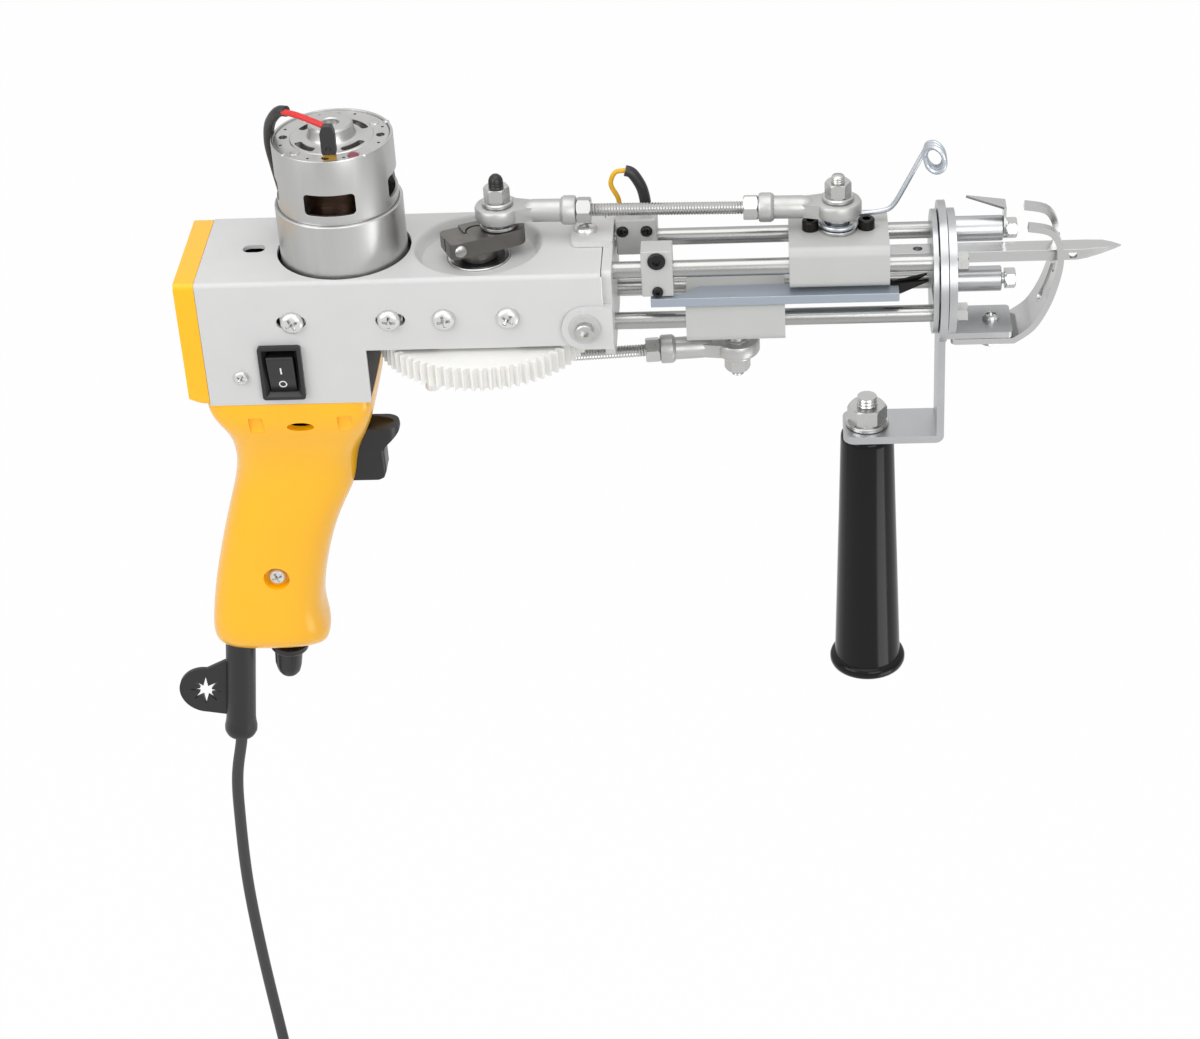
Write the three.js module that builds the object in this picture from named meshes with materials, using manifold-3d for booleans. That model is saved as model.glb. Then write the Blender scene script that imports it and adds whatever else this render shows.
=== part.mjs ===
// Handheld tufting machine: an upright motor turns a nylon gear under a sheet-metal body, and two
// opposed cranks drive the needle slider and the cutter slider along four guide rods.
// Lengths are millimetres, +X points to the needle, +Z up and -Y to the side with the power switch.
// Every place is measured from the motor axis at the body's top plate, and the finished group is
// moved so that its origin is the middle of the hand grip.
import * as THREE from "three";
import { mergeVertices } from "three/addons/utils/BufferGeometryUtils.js";
import Module from "manifold-3d";

const wasm = await Module();
wasm.setup();

// Fits and cutting values shared by the pieces
const seat = 0.15; // gap between pieces that rest on each other
const running = 0.3; // gap round a piece that slides or turns
const bite = 0.6; // how deep joined shapes of one piece enter each other
const overrun = 3; // how far a cutting shape runs past what it cuts
const weld = 1e-4; // vertices closer than this are one vertex

// Facet counts
const fineSteps = 22;
const roundSteps = 12;
const bearingSteps = 16;
const smallSteps = 8;
const hiddenSteps = 6;
const wireSides = 6;
const cornerSteps = 2;

// Sheet-metal body, open underneath
const body = {
  rear: 49.6,
  front: 90.7,
  wall: 1.5,
  foldRadius: 1.6,
  noseDepth: 27.5,
  heelMargin: 5.25,
  heelEnd: 7.6,
  motorGap: 1.3,
  slotCentre: 32,
  slotLength: 7.8,
  slotWidth: 2.3,
  leadHole: 2.9,
  leadHoleX: 21,
  leadHoleY: 17.6,
};
const dish = { radius: 21.8, depth: 5 };

// Gear pair
const gearModule = 1;
const gearTeeth = 74;
const pinionTeeth = 20;
const pressureAngle = 20;
const gear = {
  top: 29.3,
  face: 8.2,
  backlash: 0.3,
  clearance: 0.3,
  spacerRadius: 6,
};
const crankX = (gearModule * (gearTeeth + pinionTeeth)) / 2;

// Crank shaft, its two ball bearings and the moulded block that holds them
const shaft = { radius: 4, collarRadius: 6.6, collarTop: 1, below: 39.6 };
const bearing = { outer: 11, bore: 4.1, width: 7, ringShare: 0.82, facing: 0.5 };
const block = { length: 28, top: 6.65, bottom: 28.6, bore: 7, screwSpread: 22.2, screwDrop: 15.8 };

// Crank arm and crank pins
const arm = {
  behind: 12,
  ahead: 16.6,
  width: 13.6,
  bottom: -0.8,
  top: 5.2,
  slit: 1,
  cornerRadius: 2,
  screwRadius: 2.6,
  pinchInset: 3.4,
};
const crankAngle = 24.4;
const upperThrow = 8.3;
const lowerThrow = 21.4;
const upperRodLength = 117.9;
const lowerRodLength = 109.1;
const upperRodZ = 10.7;
const lowerRodZ = -43.1;

// Rod ends, tie rods and the studs they turn on
const rodEnd = {
  ring: 8.1,
  ringHeight: 5.6,
  ball: 5.7,
  neck: 4,
  neckEnd: 22.8,
  collar: 5.1,
  collarLength: 4.6,
  edge: 1,
};
const tie = { radius: 2.3, nutFlats: 8, nutLength: 5 };
const stud = {
  radius: 2.5,
  washer: 6.7,
  washerHeight: 1.2,
  neck: 4.2,
  shoulder: 5.5,
  shoulderHeight: 4.5,
  nutFlats: 8,
  nutHeight: 5,
  tip: 2.2,
  capRadius: 2.9,
};

// Guide rods and the two sliders that run on them
const rods = { radius: 3, spreadY: 11.9, upperZ: -5.6, lowerZ: -25.6, rear: 92.4, front: 212.4 };
const slider = { length: 34.4, width: 31.4, height: 15.6, corner: 3.4, clampSpread: 19.3 };
const clampScrew = { radius: 2.9, height: 3.6, socket: 1.5, socketDepth: 1.8 };

// Needle bar and hollow needle
const needle = {
  rear: 168,
  shoulder: 249,
  tip: 269.7,
  width: 7,
  top: -6.6,
  bottom: -10.7,
  tipZ: -7.4,
  grooveWidth: 3.2,
  grooveDepth: 2.4,
  grooveStart: 216,
  grooveEnd: 258,
  eyeX: 253,
  eyeRadius: 1.5,
  holeX: 199.8,
  holeRadius: 1.6,
};

// Wire yarn guide on the needle slider: how far forward and up its turns stand
const yarnGuide = {
  radius: 0.9,
  reach: 34,
  rise: 23.5,
  turnRadius: 4.3,
  turnPitch: 2.4,
  turns: 2.25,
  eyeStart: 330,
  eyeArc: 240,
  bendShares: [
    [0.34, 0.01],
    [0.58, 0.07],
    [0.72, 0.36],
    [0.82, 0.72],
  ],
};
const yarnGuideSides = 5;
const yarnGuideSteps = 40;

// Push bar on the cutter slider, with the two shear blades on its front end
const push = {
  rear: 107.2,
  step: 118,
  stepRun: 6,
  front: 192.8,
  nearY: -17.4,
  narrow: 3.6,
  wide: 9,
  thickness: 3.3,
};
const blade = {
  pivotInset: 2.8,
  length: 13.2,
  rootHeight: 3.4,
  rise: 4.6,
  thickness: 1.2,
  gap: 0.25,
  pivotRadius: 1.3,
  openAngle: 7,
};

// Bracket that closes the nose and carries the guide rods
const flange = {
  rear: 91,
  front: 94.3,
  halfWidth: 23.2,
  top: 2.3,
  bottom: 35.4,
  corner: 7,
  tabThickness: 2,
  topTabRear: 79.8,
  topTabNear: -5.2,
  topTabFar: 12.2,
  sideTabRear: 80,
  sideTabTop: 12,
  sideTabBottom: 28,
  topScrewX: 84.8,
  topScrewY: 3.6,
  sideScrewX: 84.6,
  sideScrewZ: 19.8,
};

// Blocks clamped on the guide rods behind the sliders
const rodClamp = {
  rear: 104.3,
  front: 115.2,
  near: -16.2,
  far: -7.7,
  top: 3.5,
  bottom: -14,
  bigScrew: 3.1,
  smallScrew: 1.9,
  bigScrewZ: -0.1,
  smallScrewZ: -12,
};
const stopBlock = {
  rear: 94.9,
  front: 109.4,
  near: 6.2,
  far: 17.6,
  top: 4.3,
  bottom: -9.6,
  screwRadius: 2.1,
  screwFrontX: 105.7,
  screwRearX: 97.3,
  screwZ: -0.2,
};
const loop = { wire: 1.1, sleeve: 2, y: 13 };

// Front discs, the bracket of the front handle, and what stands in front of them
const discs = {
  centreZ: -15.6,
  rearX: 204.4,
  rearRadius: 21.7,
  rearThickness: 2.1,
  middleRadius: 24.7,
  middleThickness: 3,
  frontRadius: 21.9,
  frontThickness: 2.7,
  slotNear: -18.3,
  slotFar: -6.6,
  slotTop: -10.2,
  slotShelf: -13.6,
  slotBottom: -18.5,
};
const bracket = { width: 19.2, footTop: -77.3, footRear: 173.6, cornerRadius: 4.2, bend: 3 };
const tab = { halfWidth: 9.8, top: -35.2, thickness: 2.3, front: 232.6, screwX: 225.7 };
const rodScrew = { radius: 3.1, length: 3.9 };
const spacer = { radius: 4.5, length: 17.2, shank: 2, boltFlats: 6.4, boltLength: 4.2 };
const hook = { thickness: 0.8, width: 7, topZ: 3.6, backX: 217, tipZ: 5.6, plateZ: -9.2 };

// Presser foot
const foot = {
  rear: 211.2,
  halfWidth: 9.8,
  thickness: 2.2,
  slotWidth: 4.4,
  slotRear: 212.6,
  slotFront: 227.9,
  windowHalf: 2.2,
  windowBottom: -28.5,
  forkHalf: 6.3,
  forkBottom: -15,
  screwRadius: 2.5,
  travel: 12,
};

// Front handle
const handle = {
  x: 182.3,
  top: -80.5,
  bottom: -183,
  topRadius: 9.55,
  lowRadius: 12.3,
  flangeRadius: 14.1,
  flangeHeight: 4,
  edge: 1.2,
  boltRadius: 3.6,
  boltTop: -65.8,
  nutFlats: 12.4,
  nutHeight: 6.2,
  washerRadius: 7.8,
  washerHeight: 1.6,
};

// Motor
const motor = {
  canRadius: 21,
  canWall: 1,
  canTop: 43.4,
  canBottom: -23.3,
  magnet: 2.6,
  magnetTop: 20,
  windowWidth: 17.6,
  windowTop: 30.6,
  windowBottom: 22.8,
  ringWall: 1.15,
  ringTop: 19.2,
  ringBottom: -8,
  capThickness: 3.6,
  capInset: 0.5,
  hubRadius: 7.8,
  hubHeight: 5.4,
  ventInner: 10.4,
  ventOuter: 13.6,
  ventAngle: 46,
  ventHole: 1.5,
  noseRadius: 8.6,
  noseHeight: 2.6,
  airGap: 0.8,
  coreTop: 17,
  coreBottom: -10,
  windingRadius: 13.2,
  windingTop: 27,
  windingBottom: -16,
  shaftRadius: 2.5,
};
const mount = { length: 43, thickness: 3, side: 2, sideGap: 0.45, earTop: -10.4, boreGap: 0.6 };
const sideSlot = { inset: 4.2, length: 10.4, width: 4.6, drop: 15.6, screwInset: 4.6 };
const panScrew = { head: 4, height: 2.2, shank: 1.8, hole: 2.2, slot: 1.1, slotDepth: 1 };
const cornerScrew = { inset: 12.3, rise: 11.4, head: 2.6 };
const terminal = { x: 0.6, y: -16.6, width: 5.6, depth: 2.8, bottom: 44.8, top: 56, tab: 1 };
const lead = { red: 1.1, black: 1.9 };

// Rear cover and power switch
const cover = { thickness: 7.2, wall: 2, lip: 3, bevelDrop: 3, bevelRun: 6, corner: 2.4 };
const powerSwitch = {
  inset: 27,
  width: 15.2,
  height: 21.2,
  bezel: 1.8,
  rim: 2.2,
  depth: 13,
  rockerThrow: 11,
  rockerDepth: 5.5,
};

// Hand grip, split along its middle plane
const grip = {
  drop: 119.7,
  wall: 2.4,
  tongue: 4.4,
  tongueWall: 1.8,
  split: 0.05,
  screwInset: 12.9,
  screwDrop: 81.1,
  screwHead: 3.4,
  screwRecess: 4.6,
  screwShank: 1.7,
  screwHeadSink: 1.2,
  floor: 3,
  pocketWidth: 5,
  pocketHeight: 7,
  pocketDepth: 1.4,
  pocketRearInset: 15,
  pocketFrontInset: 10.5,
  pocketDrop: 5.9,
  scoopInset: 30.6,
  scoopDrop: 10.9,
  scoopRadius: 8,
  scoopDepth: 1.9,
};
// Sections from the body down: share of the drop, rear and front as shares of the heel's length
// measured from the body's rear, half the width as a share of the body's width, and squareness
const gripSectionShares = [
  [0, -0.052, 0.998, 0.498, 8],
  [0.045, -0.044, 0.995, 0.497, 8],
  [0.085, -0.012, 0.975, 0.48, 7],
  [0.13, 0.024, 0.945, 0.44, 5.5],
  [0.18, 0.043, 0.905, 0.392, 4.4],
  [0.24, 0.042, 0.842, 0.355, 3.4],
  [0.3, 0.032, 0.802, 0.338, 2.9],
  [0.37, -0.002, 0.788, 0.334, 2.8],
  [0.43, -0.042, 0.752, 0.334, 2.8],
  [0.49, -0.082, 0.676, 0.334, 2.8],
  [0.56, -0.126, 0.604, 0.332, 2.8],
  [0.64, -0.172, 0.552, 0.328, 2.8],
  [0.74, -0.226, 0.498, 0.328, 2.8],
  [0.84, -0.266, 0.462, 0.342, 2.8],
  [0.9, -0.284, 0.478, 0.354, 2.8],
  [0.945, -0.282, 0.486, 0.354, 2.8],
  [0.975, -0.262, 0.476, 0.336, 2.8],
  [1, -0.2, 0.42, 0.27, 2.6],
];
const gripSides = 16;

// Trigger and the switch it presses
const trigger = {
  depth: 15.8,
  faceInset: 0.8,
  lip: 5.8,
  topDrop: 23.4,
  lipHeight: 2.5,
  throatHeight: 8.5,
  height: 21.7,
  halfWidth: 5.5,
  corner: 3,
  gap: 0.4,
  travel: 5,
  scoopRadius: 30,
  scoopDepth: 1.1,
};
const triggerSwitch = { gap: 6, depth: 19, topDrop: 25.5, height: 20, halfWidth: 8, plunger: 2.4 };

// What leaves the grip's lower end, leaning with the grip
const lean = 6.7;
const relief = {
  outset: 7.8,
  radius: 5.75,
  endRadius: 6.3,
  headRadius: 6.6,
  headHeight: 3,
  flareStart: 38,
  flareEnd: 42,
  length: 45.5,
  tagX: -13.6,
  tagZ: -25.6,
  tagRadius: 10.4,
  tagHalf: 1.6,
  tagNeckTop: -9,
  tagNeckBottom: -36,
  starOuter: 5.4,
  starInner: 2.7,
};
const knob = {
  inset: 11.2,
  collar: 7.3,
  collarHeight: 2.6,
  body: 5.1,
  waist: 4.7,
  end: 3.5,
  length: 16.4,
  shoulder: 12,
  shaft: 3,
  shaftLength: 9,
  pointer: 1.2,
};
const control = { halfWidth: 10, depth: 13, height: 14, drop: 8.5 };
const starPoints = 8;

// Mains cord: its seen stretch, the coil of the unseen length, and the plug
const cord = { radius: 2.3, coilPitch: 5.1, coilRadius: 33, coilX: -29.6, coilZ: -432, tail: 40 };
const coilTurnsIn = 3.5;
const coilTurnsUp = 0.5;
const coilTurnsOut = 4;
const climbDipShare = 0.25;
const coilSteps = 20;
const coilSides = 6;
const cordSides = 8;
const cordSteps = 20;
const cordPoints = [
  [-66.7, -234.3],
  [-68.3, -253.3],
  [-69.4, -289.6],
  [-68, -330.5],
  [-64.9, -378],
  [-62.8, -408],
];
const band = { height: 8, thickness: 1.3, gap: 0.5 };
const plug = {
  width: 32,
  depth: 13.6,
  shoulder: 9,
  length: 33,
  gripWidth: 20,
  corner: 5,
  grommet: 4,
  grommetLength: 9,
  pinRadius: 2,
  pinSpread: 18.6,
  pinLength: 19,
};

// Middle of the hand grip, which is the origin of the finished part, from the heel's lower rear edge
const palm = { inset: 12.6, drop: 69.5 };

// Basic shapes, each returned as a solid

const asSolid = (geometry) => {
  const loose = geometry.index ? geometry.toNonIndexed() : geometry;
  const bare = new THREE.BufferGeometry();
  bare.setAttribute("position", loose.getAttribute("position"));
  const merged = mergeVertices(bare, weld);
  const corners = merged.index.array;
  const kept = [];
  for (let i = 0; i < corners.length; i += 3) {
    const [a, b, c] = [corners[i], corners[i + 1], corners[i + 2]];
    if (a !== b && b !== c && c !== a) kept.push(a, b, c);
  }
  return new wasm.Manifold(
    new wasm.Mesh({
      numProp: 3,
      vertProperties: merged.getAttribute("position").array,
      triVerts: new Uint32Array(kept),
    }),
  );
};

const join = (...solids) => solids.reduce((sum, next) => sum.add(next));
const cut = (solid, ...tools) => tools.reduce((rest, tool) => rest.subtract(tool), solid);
const radians = (degrees) => THREE.MathUtils.degToRad(degrees);
const sine = (degrees) => Math.sin(radians(degrees));
const cosine = (degrees) => Math.cos(radians(degrees));

// A box between two values along each axis
function box([x0, x1], [y0, y1], [z0, z1]) {
  const geometry = new THREE.BoxGeometry(x1 - x0, y1 - y0, z1 - z0);
  geometry.translate((x0 + x1) / 2, (y0 + y1) / 2, (z0 + z1) / 2);
  return asSolid(geometry);
}

const turnTo = {
  x: (geometry) => geometry.rotateZ(-Math.PI / 2),
  y: (geometry) => geometry,
  z: (geometry) => geometry.rotateX(Math.PI / 2),
};

// A round bar along one axis between two values, its axis through the point given
function bar(axis, [from, to], radius, [x, y, z], steps = roundSteps, endRadius = radius) {
  const geometry = new THREE.CylinderGeometry(endRadius, radius, to - from, steps);
  turnTo[axis](geometry);
  const middle = (from + to) / 2;
  geometry.translate(
    axis === "x" ? middle : x,
    axis === "y" ? middle : y,
    axis === "z" ? middle : z,
  );
  return asSolid(geometry);
}

const HEX = 6;
const acrossCorners = (flats) => flats / cosine(180 / HEX) / 2;

// Radius of a faceted bore whose flats clear a round bar that stands in it at any turn
const roundBore = (radius) => (radius + seat / 2) / cosine(180 / roundSteps);

function hexagon(axis, span, flats, at) {
  return bar(axis, span, acrossCorners(flats), at, HEX);
}

// A solid of revolution round the vertical line through x, y; the profile is [radius, z] points
function turned(profile, [x, y], steps = roundSteps) {
  const closed = [...profile, profile[0]];
  let area = 0;
  for (let i = 0; i < profile.length; i++) {
    area += closed[i][0] * closed[i + 1][1] - closed[i + 1][0] * closed[i][1];
  }
  const ordered = area > 0 ? profile : [...profile].reverse();
  const onAxis = ordered[0][0] === 0 && ordered[ordered.length - 1][0] === 0;
  const points = (onAxis ? ordered : [...ordered, ordered[0]]).map(
    ([radius, z]) => new THREE.Vector2(radius, z),
  );
  const geometry = new THREE.LatheGeometry(points, steps);
  geometry.rotateX(Math.PI / 2);
  geometry.translate(x, y, 0);
  return asSolid(geometry);
}

// Outlines drawn in one plane and drawn out along the axis square to it
const axes = {
  x: [new THREE.Vector3(0, 1, 0), new THREE.Vector3(0, 0, 1), new THREE.Vector3(1, 0, 0)],
  y: [new THREE.Vector3(1, 0, 0), new THREE.Vector3(0, 0, 1), new THREE.Vector3(0, -1, 0)],
  z: [new THREE.Vector3(1, 0, 0), new THREE.Vector3(0, 1, 0), new THREE.Vector3(0, 0, 1)],
};

function drawnOut(axis, shape, [from, to], curveSegments = cornerSteps) {
  const geometry = new THREE.ExtrudeGeometry(shape, {
    depth: to - from,
    bevelEnabled: false,
    curveSegments,
  });
  geometry.applyMatrix4(new THREE.Matrix4().makeBasis(...axes[axis]));
  const start = axis === "y" ? to : from;
  geometry.translate(
    axis === "x" ? start : 0,
    axis === "y" ? start : 0,
    axis === "z" ? start : 0,
  );
  return asSolid(geometry);
}

const outline = (points) => new THREE.Shape(points.map(([u, v]) => new THREE.Vector2(u, v)));

function roundedBox2d([u0, u1], [v0, v1], radius) {
  const shape = new THREE.Shape();
  shape.moveTo(u0 + radius, v0);
  shape.lineTo(u1 - radius, v0);
  shape.absarc(u1 - radius, v0 + radius, radius, -Math.PI / 2, 0, false);
  shape.lineTo(u1, v1 - radius);
  shape.absarc(u1 - radius, v1 - radius, radius, 0, Math.PI / 2, false);
  shape.lineTo(u0 + radius, v1);
  shape.absarc(u0 + radius, v1 - radius, radius, Math.PI / 2, Math.PI, false);
  shape.lineTo(u0, v0 + radius);
  shape.absarc(u0 + radius, v0 + radius, radius, Math.PI, Math.PI * 1.5, false);
  return shape;
}

// A slot with round ends, long along u
function slot2d(u, v, length, width) {
  return roundedBox2d([u - length / 2, u + length / 2], [v - width / 2, v + width / 2], width / 2);
}

// A round wire along a smooth curve through the points
function wire(points, radius, steps, sides = wireSides, tension = 0.5) {
  const curve = new THREE.CatmullRomCurve3(
    points.map(([x, y, z]) => new THREE.Vector3(x, y, z)),
    false,
    "catmullrom",
    tension,
  );
  return alongCurve(curve, radius, steps, sides);
}

function alongCurve(curve, radius, steps, sides) {
  const section = new THREE.Shape();
  for (let i = 0; i < sides; i++) {
    const angle = (i / sides) * Math.PI * 2;
    const place = [radius * Math.cos(angle), radius * Math.sin(angle)];
    if (i) section.lineTo(...place);
    else section.moveTo(...place);
  }
  const geometry = new THREE.ExtrudeGeometry(section, { steps, extrudePath: curve });
  return asSolid(geometry);
}

const moved = (solid, matrix) => solid.transform(matrix.toArray());
const mirroredY = (solid) => moved(solid, new THREE.Matrix4().makeScale(1, -1, 1));

// Materials
function material(colour, roughness, metalness) {
  return new THREE.MeshStandardMaterial({ color: colour, roughness, metalness });
}
const paint = material("#d2d2d1", 0.42, 0.1);
const yellowPlastic = material("#ffbe26", 0.35, 0);
const blackPlastic = material("#2b2929", 0.45, 0);
const glossBlack = material("#232323", 0.18, 0);
const blackSteel = material("#33302e", 0.4, 0.8);
const platedSteel = material("#b5b5b3", 0.35, 0.85);
const chrome = material("#c9caca", 0.15, 1);
const zinc = material("#8a94a0", 0.35, 0.85);
const nylon = material("#e8e6e1", 0.5, 0);
const brass = material("#d8b45a", 0.35, 0.9);
const copper = material("#a8683c", 0.45, 0.8);
const redWire = material("#d6322f", 0.45, 0);
const yellowWire = material("#d8a818", 0.45, 0);
const cordRubber = material("#3a3a3a", 0.6, 0);

const machine = new THREE.Group();
const pieces = new THREE.Group();
machine.add(pieces);

function addPiece(name, solid, finish, parent = pieces) {
  const mesh = solid.getMesh();
  const geometry = new THREE.BufferGeometry();
  geometry.setAttribute("position", new THREE.BufferAttribute(mesh.vertProperties, 3));
  geometry.setIndex(new THREE.BufferAttribute(mesh.triVerts, 1));
  geometry.computeVertexNormals();
  const piece = new THREE.Mesh(geometry, finish);
  piece.name = name;
  parent.add(piece);
  return piece;
}

// Places worked out from the driving sizes
const bodyWidth = 2 * (motor.canRadius + mount.sideGap + mount.side + seat + body.wall);
const halfBody = bodyWidth / 2;
const ringRadius = motor.canRadius + seat + motor.ringWall;
const magnetInner = motor.canRadius - motor.canWall - motor.magnet;
const switchX = powerSwitch.inset - body.rear;
const mountBottom = motor.canBottom - seat - mount.thickness;
const switchInHeight = powerSwitch.height - 2 * (powerSwitch.rim + seat);
const switchZ = mountBottom - running - switchInHeight / 2;
const heelDepth = body.heelMargin + switchInHeight / 2 - switchZ;
const mountScrewX = mount.length / 2 - sideSlot.screwInset;
const gripScrewX = grip.screwInset - body.rear;
const gripScrewZ = -heelDepth - grip.screwDrop;
const triggerFront = body.heelEnd - trigger.faceInset;
const triggerBack = triggerFront - trigger.depth;
const triggerTop = -heelDepth - trigger.topDrop;
const triggerBottom = triggerTop - trigger.height;
const reliefX = -body.rear - relief.outset;
const knobX = knob.inset - body.rear;
const upperPin = [crankX + upperThrow * cosine(crankAngle), upperThrow * sine(crankAngle)];
const lowerPin = [crankX - lowerThrow * cosine(crankAngle), -lowerThrow * sine(crankAngle)];
const upperSliderX = upperPin[0] + Math.sqrt(upperRodLength ** 2 - upperPin[1] ** 2);
const lowerSliderX = lowerPin[0] + Math.sqrt(lowerRodLength ** 2 - lowerPin[1] ** 2);
const upperSliderTop = rods.upperZ + slider.height / 2;
const lowerSliderTop = rods.lowerZ + slider.height / 2;
const lowerSliderBottom = rods.lowerZ - slider.height / 2;
const middleDiscX = discs.rearX + discs.rearThickness + seat;
const frontDiscX = middleDiscX + discs.middleThickness + seat;
const discFace = frontDiscX + discs.frontThickness;
const gripBottom = -heelDepth - seat - grip.drop;
pieces.position.set(body.rear - palm.inset, 0, heelDepth + palm.drop);

// Pan-head screw through the body's near wall
function sideScrew(x, z, reach, head = panScrew.head) {
  const face = -halfBody - seat;
  return join(
    bar("y", [face - panScrew.height, face], head * 0.8, [x, 0, z], roundSteps, head),
    bar("y", [face - bite, reach], panScrew.shank, [x, 0, z], hiddenSteps),
  );
}

// Body

function makeBody() {
  const fold = new THREE.Shape();
  const inner = halfBody - body.wall;
  const bend = body.foldRadius;
  fold.moveTo(-halfBody, -heelDepth);
  fold.lineTo(-inner, -heelDepth);
  fold.lineTo(-inner, -body.wall);
  fold.lineTo(inner, -body.wall);
  fold.lineTo(inner, -heelDepth);
  fold.lineTo(halfBody, -heelDepth);
  fold.lineTo(halfBody, -bend);
  fold.absarc(halfBody - bend, -bend, bend, 0, Math.PI / 2, false);
  fold.lineTo(-halfBody + bend, 0);
  fold.absarc(-halfBody + bend, -bend, bend, Math.PI / 2, Math.PI, false);
  const folded = drawnOut("x", fold, [-body.rear, body.front]);
  const cup = turned(
    [
      [bearing.outer + seat, -dish.depth - body.wall],
      [dish.radius + body.wall, -dish.depth - body.wall],
      [dish.radius + body.wall, -body.wall / 3],
      [dish.radius, -body.wall / 3],
      [dish.radius, -dish.depth],
      [bearing.outer + seat, -dish.depth],
    ],
    [crankX, 0],
    fineSteps,
  );
  const through = [-halfBody - overrun, halfBody + overrun];
  const topHole = [-body.wall - overrun, overrun];
  const screwHoles = [];
  const slotX = mount.length / 2 - sideSlot.inset;
  for (const side of [-1, 1]) {
    const blockX = crankX + (side * block.screwSpread) / 2;
    screwHoles.push(
      drawnOut("y", slot2d(side * slotX, -sideSlot.drop, sideSlot.length, sideSlot.width), through),
      bar("y", through, panScrew.hole, [blockX, 0, -block.screwDrop], hiddenSteps),
    );
  }
  const half = { x: powerSwitch.width / 2 - powerSwitch.rim, z: powerSwitch.height / 2 - powerSwitch.rim };
  const shell = cut(
    folded,
    box([body.heelEnd, body.front + overrun], through, [-heelDepth - overrun, -body.noseDepth]),
    bar("z", topHole, ringRadius + body.motorGap, [0, 0, 0], fineSteps),
    bar("z", topHole, dish.radius, [crankX, 0, 0], fineSteps),
    drawnOut("z", slot2d(-body.slotCentre, body.slotWidth / 4, body.slotLength, body.slotWidth), topHole),
    bar("z", topHole, body.leadHole, [-body.leadHoleX, body.leadHoleY, 0], smallSteps),
    bar("z", topHole, panScrew.hole, [flange.topScrewX, flange.topScrewY, 0], hiddenSteps),
    bar("y", through, panScrew.hole, [flange.sideScrewX, 0, -flange.sideScrewZ], hiddenSteps),
    box(
      [switchX - half.x, switchX + half.x],
      [-halfBody - overrun, 0],
      [switchZ - half.z, switchZ + half.z],
    ),
    ...screwHoles,
  );
  const corner = sideScrew(
    cornerScrew.inset - body.rear,
    cornerScrew.rise - heelDepth,
    -halfBody + body.wall,
    cornerScrew.head,
  );
  const head = moved(corner, new THREE.Matrix4().makeTranslation(0, seat, 0));
  addPiece("housing", join(shell, cup, head), paint);
}

// Cover that closes the rear of the body: bevelled along its lower rear edge, hollow, with a lip
function makeRearCover() {
  const rearX = -body.rear - seat - cover.thickness;
  const frontX = -body.rear - seat;
  const side = [
    [frontX, 0],
    [rearX, 0],
    [rearX, -heelDepth + cover.bevelDrop],
    [frontX - cover.thickness + cover.bevelRun, -heelDepth + seat],
    [frontX, -heelDepth + seat],
  ];
  const across = roundedBox2d([-halfBody, halfBody], [-heelDepth, 0], cover.corner);
  const outer = drawnOut("x", across, [rearX, frontX]).intersect(
    drawnOut("y", outline(side), [-halfBody, halfBody]),
  );
  const inset = (gap) =>
    roundedBox2d(
      [-halfBody + gap, halfBody - gap],
      [-heelDepth + gap + cover.bevelDrop / 2, -gap],
      cover.corner,
    );
  const lipGap = body.wall + seat;
  const lip = drawnOut("x", inset(lipGap), [frontX - bite, frontX + cover.lip]);
  const hollowSpan = [rearX + cover.wall, frontX + cover.lip + overrun];
  const hollow = drawnOut("x", inset(lipGap + cover.wall), hollowSpan);
  addPiece("rear_cover", cut(join(outer, lip), hollow), yellowPlastic);
}

// Power switch in the near wall, with its rocker on a cross pin
function makePowerSwitch() {
  const { width, height, bezel, rim, depth } = powerSwitch;
  const [x, z] = [switchX, switchZ];
  const face = -halfBody - seat;
  const bezelShape = roundedBox2d([x - width / 2, x + width / 2], [z - height / 2, z + height / 2], rim / 2);
  const inX = width / 2 - rim - seat;
  const inZ = height / 2 - rim - seat;
  const wellX = inX - rim / 2;
  const wellZ = inZ - rim / 2;
  const shell = cut(
    join(
      drawnOut("y", bezelShape, [face - bezel, face]),
      box([x - inX, x + inX], [face - bite, face + depth], [z - inZ, z + inZ]),
    ),
    box(
      [x - wellX, x + wellX],
      [face - bezel - overrun, face + powerSwitch.rockerDepth + running],
      [z - wellZ, z + wellZ],
    ),
  );
  addPiece("power_switch_body", shell, glossBlack);
  const rise = sine(powerSwitch.rockerThrow) * (wellZ - running);
  const reach = wellZ - running * 2 - rim / 3;
  const crown = face - bezel;
  const deep = face + powerSwitch.rockerDepth - running;
  const side = [
    [crown + rise / 3, -reach],
    [crown - running, 0],
    [crown - rise, reach],
    [deep - rise, reach * 0.8],
    [deep, 0],
    [deep - rise, -reach * 0.8],
  ].map(([y, up]) => [y, z + up]);
  const rocker = drawnOut("x", outline(side), [x - wellX + running, x + wellX - running]);
  addPiece("power_switch_rocker", rocker, glossBlack);
}

// Hand grip: two lofted shells with a tongue that enters the body's heel

// A section of the loft as points; the inner wall is the same loft drawn in by the wall
function gripSection(share, inset) {
  const [down, rear, front, halfShare, squareness] = share;
  const heel = body.rear + body.heelEnd;
  const rearX = -body.rear + rear * heel + inset;
  const frontX = -body.rear + front * heel - inset;
  const half = halfShare * bodyWidth - inset;
  const z = -heelDepth - seat - down * grip.drop;
  const points = [];
  for (let i = 0; i < gripSides; i++) {
    const angle = ((i + 0.5) / gripSides) * Math.PI * 2;
    const power = 2 / squareness;
    const u = Math.sign(Math.cos(angle)) * Math.abs(Math.cos(angle)) ** power;
    const v = Math.sign(Math.sin(angle)) * Math.abs(Math.sin(angle)) ** power;
    points.push([(rearX + frontX) / 2 + (u * (frontX - rearX)) / 2, v * half, z]);
  }
  return points;
}

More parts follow.
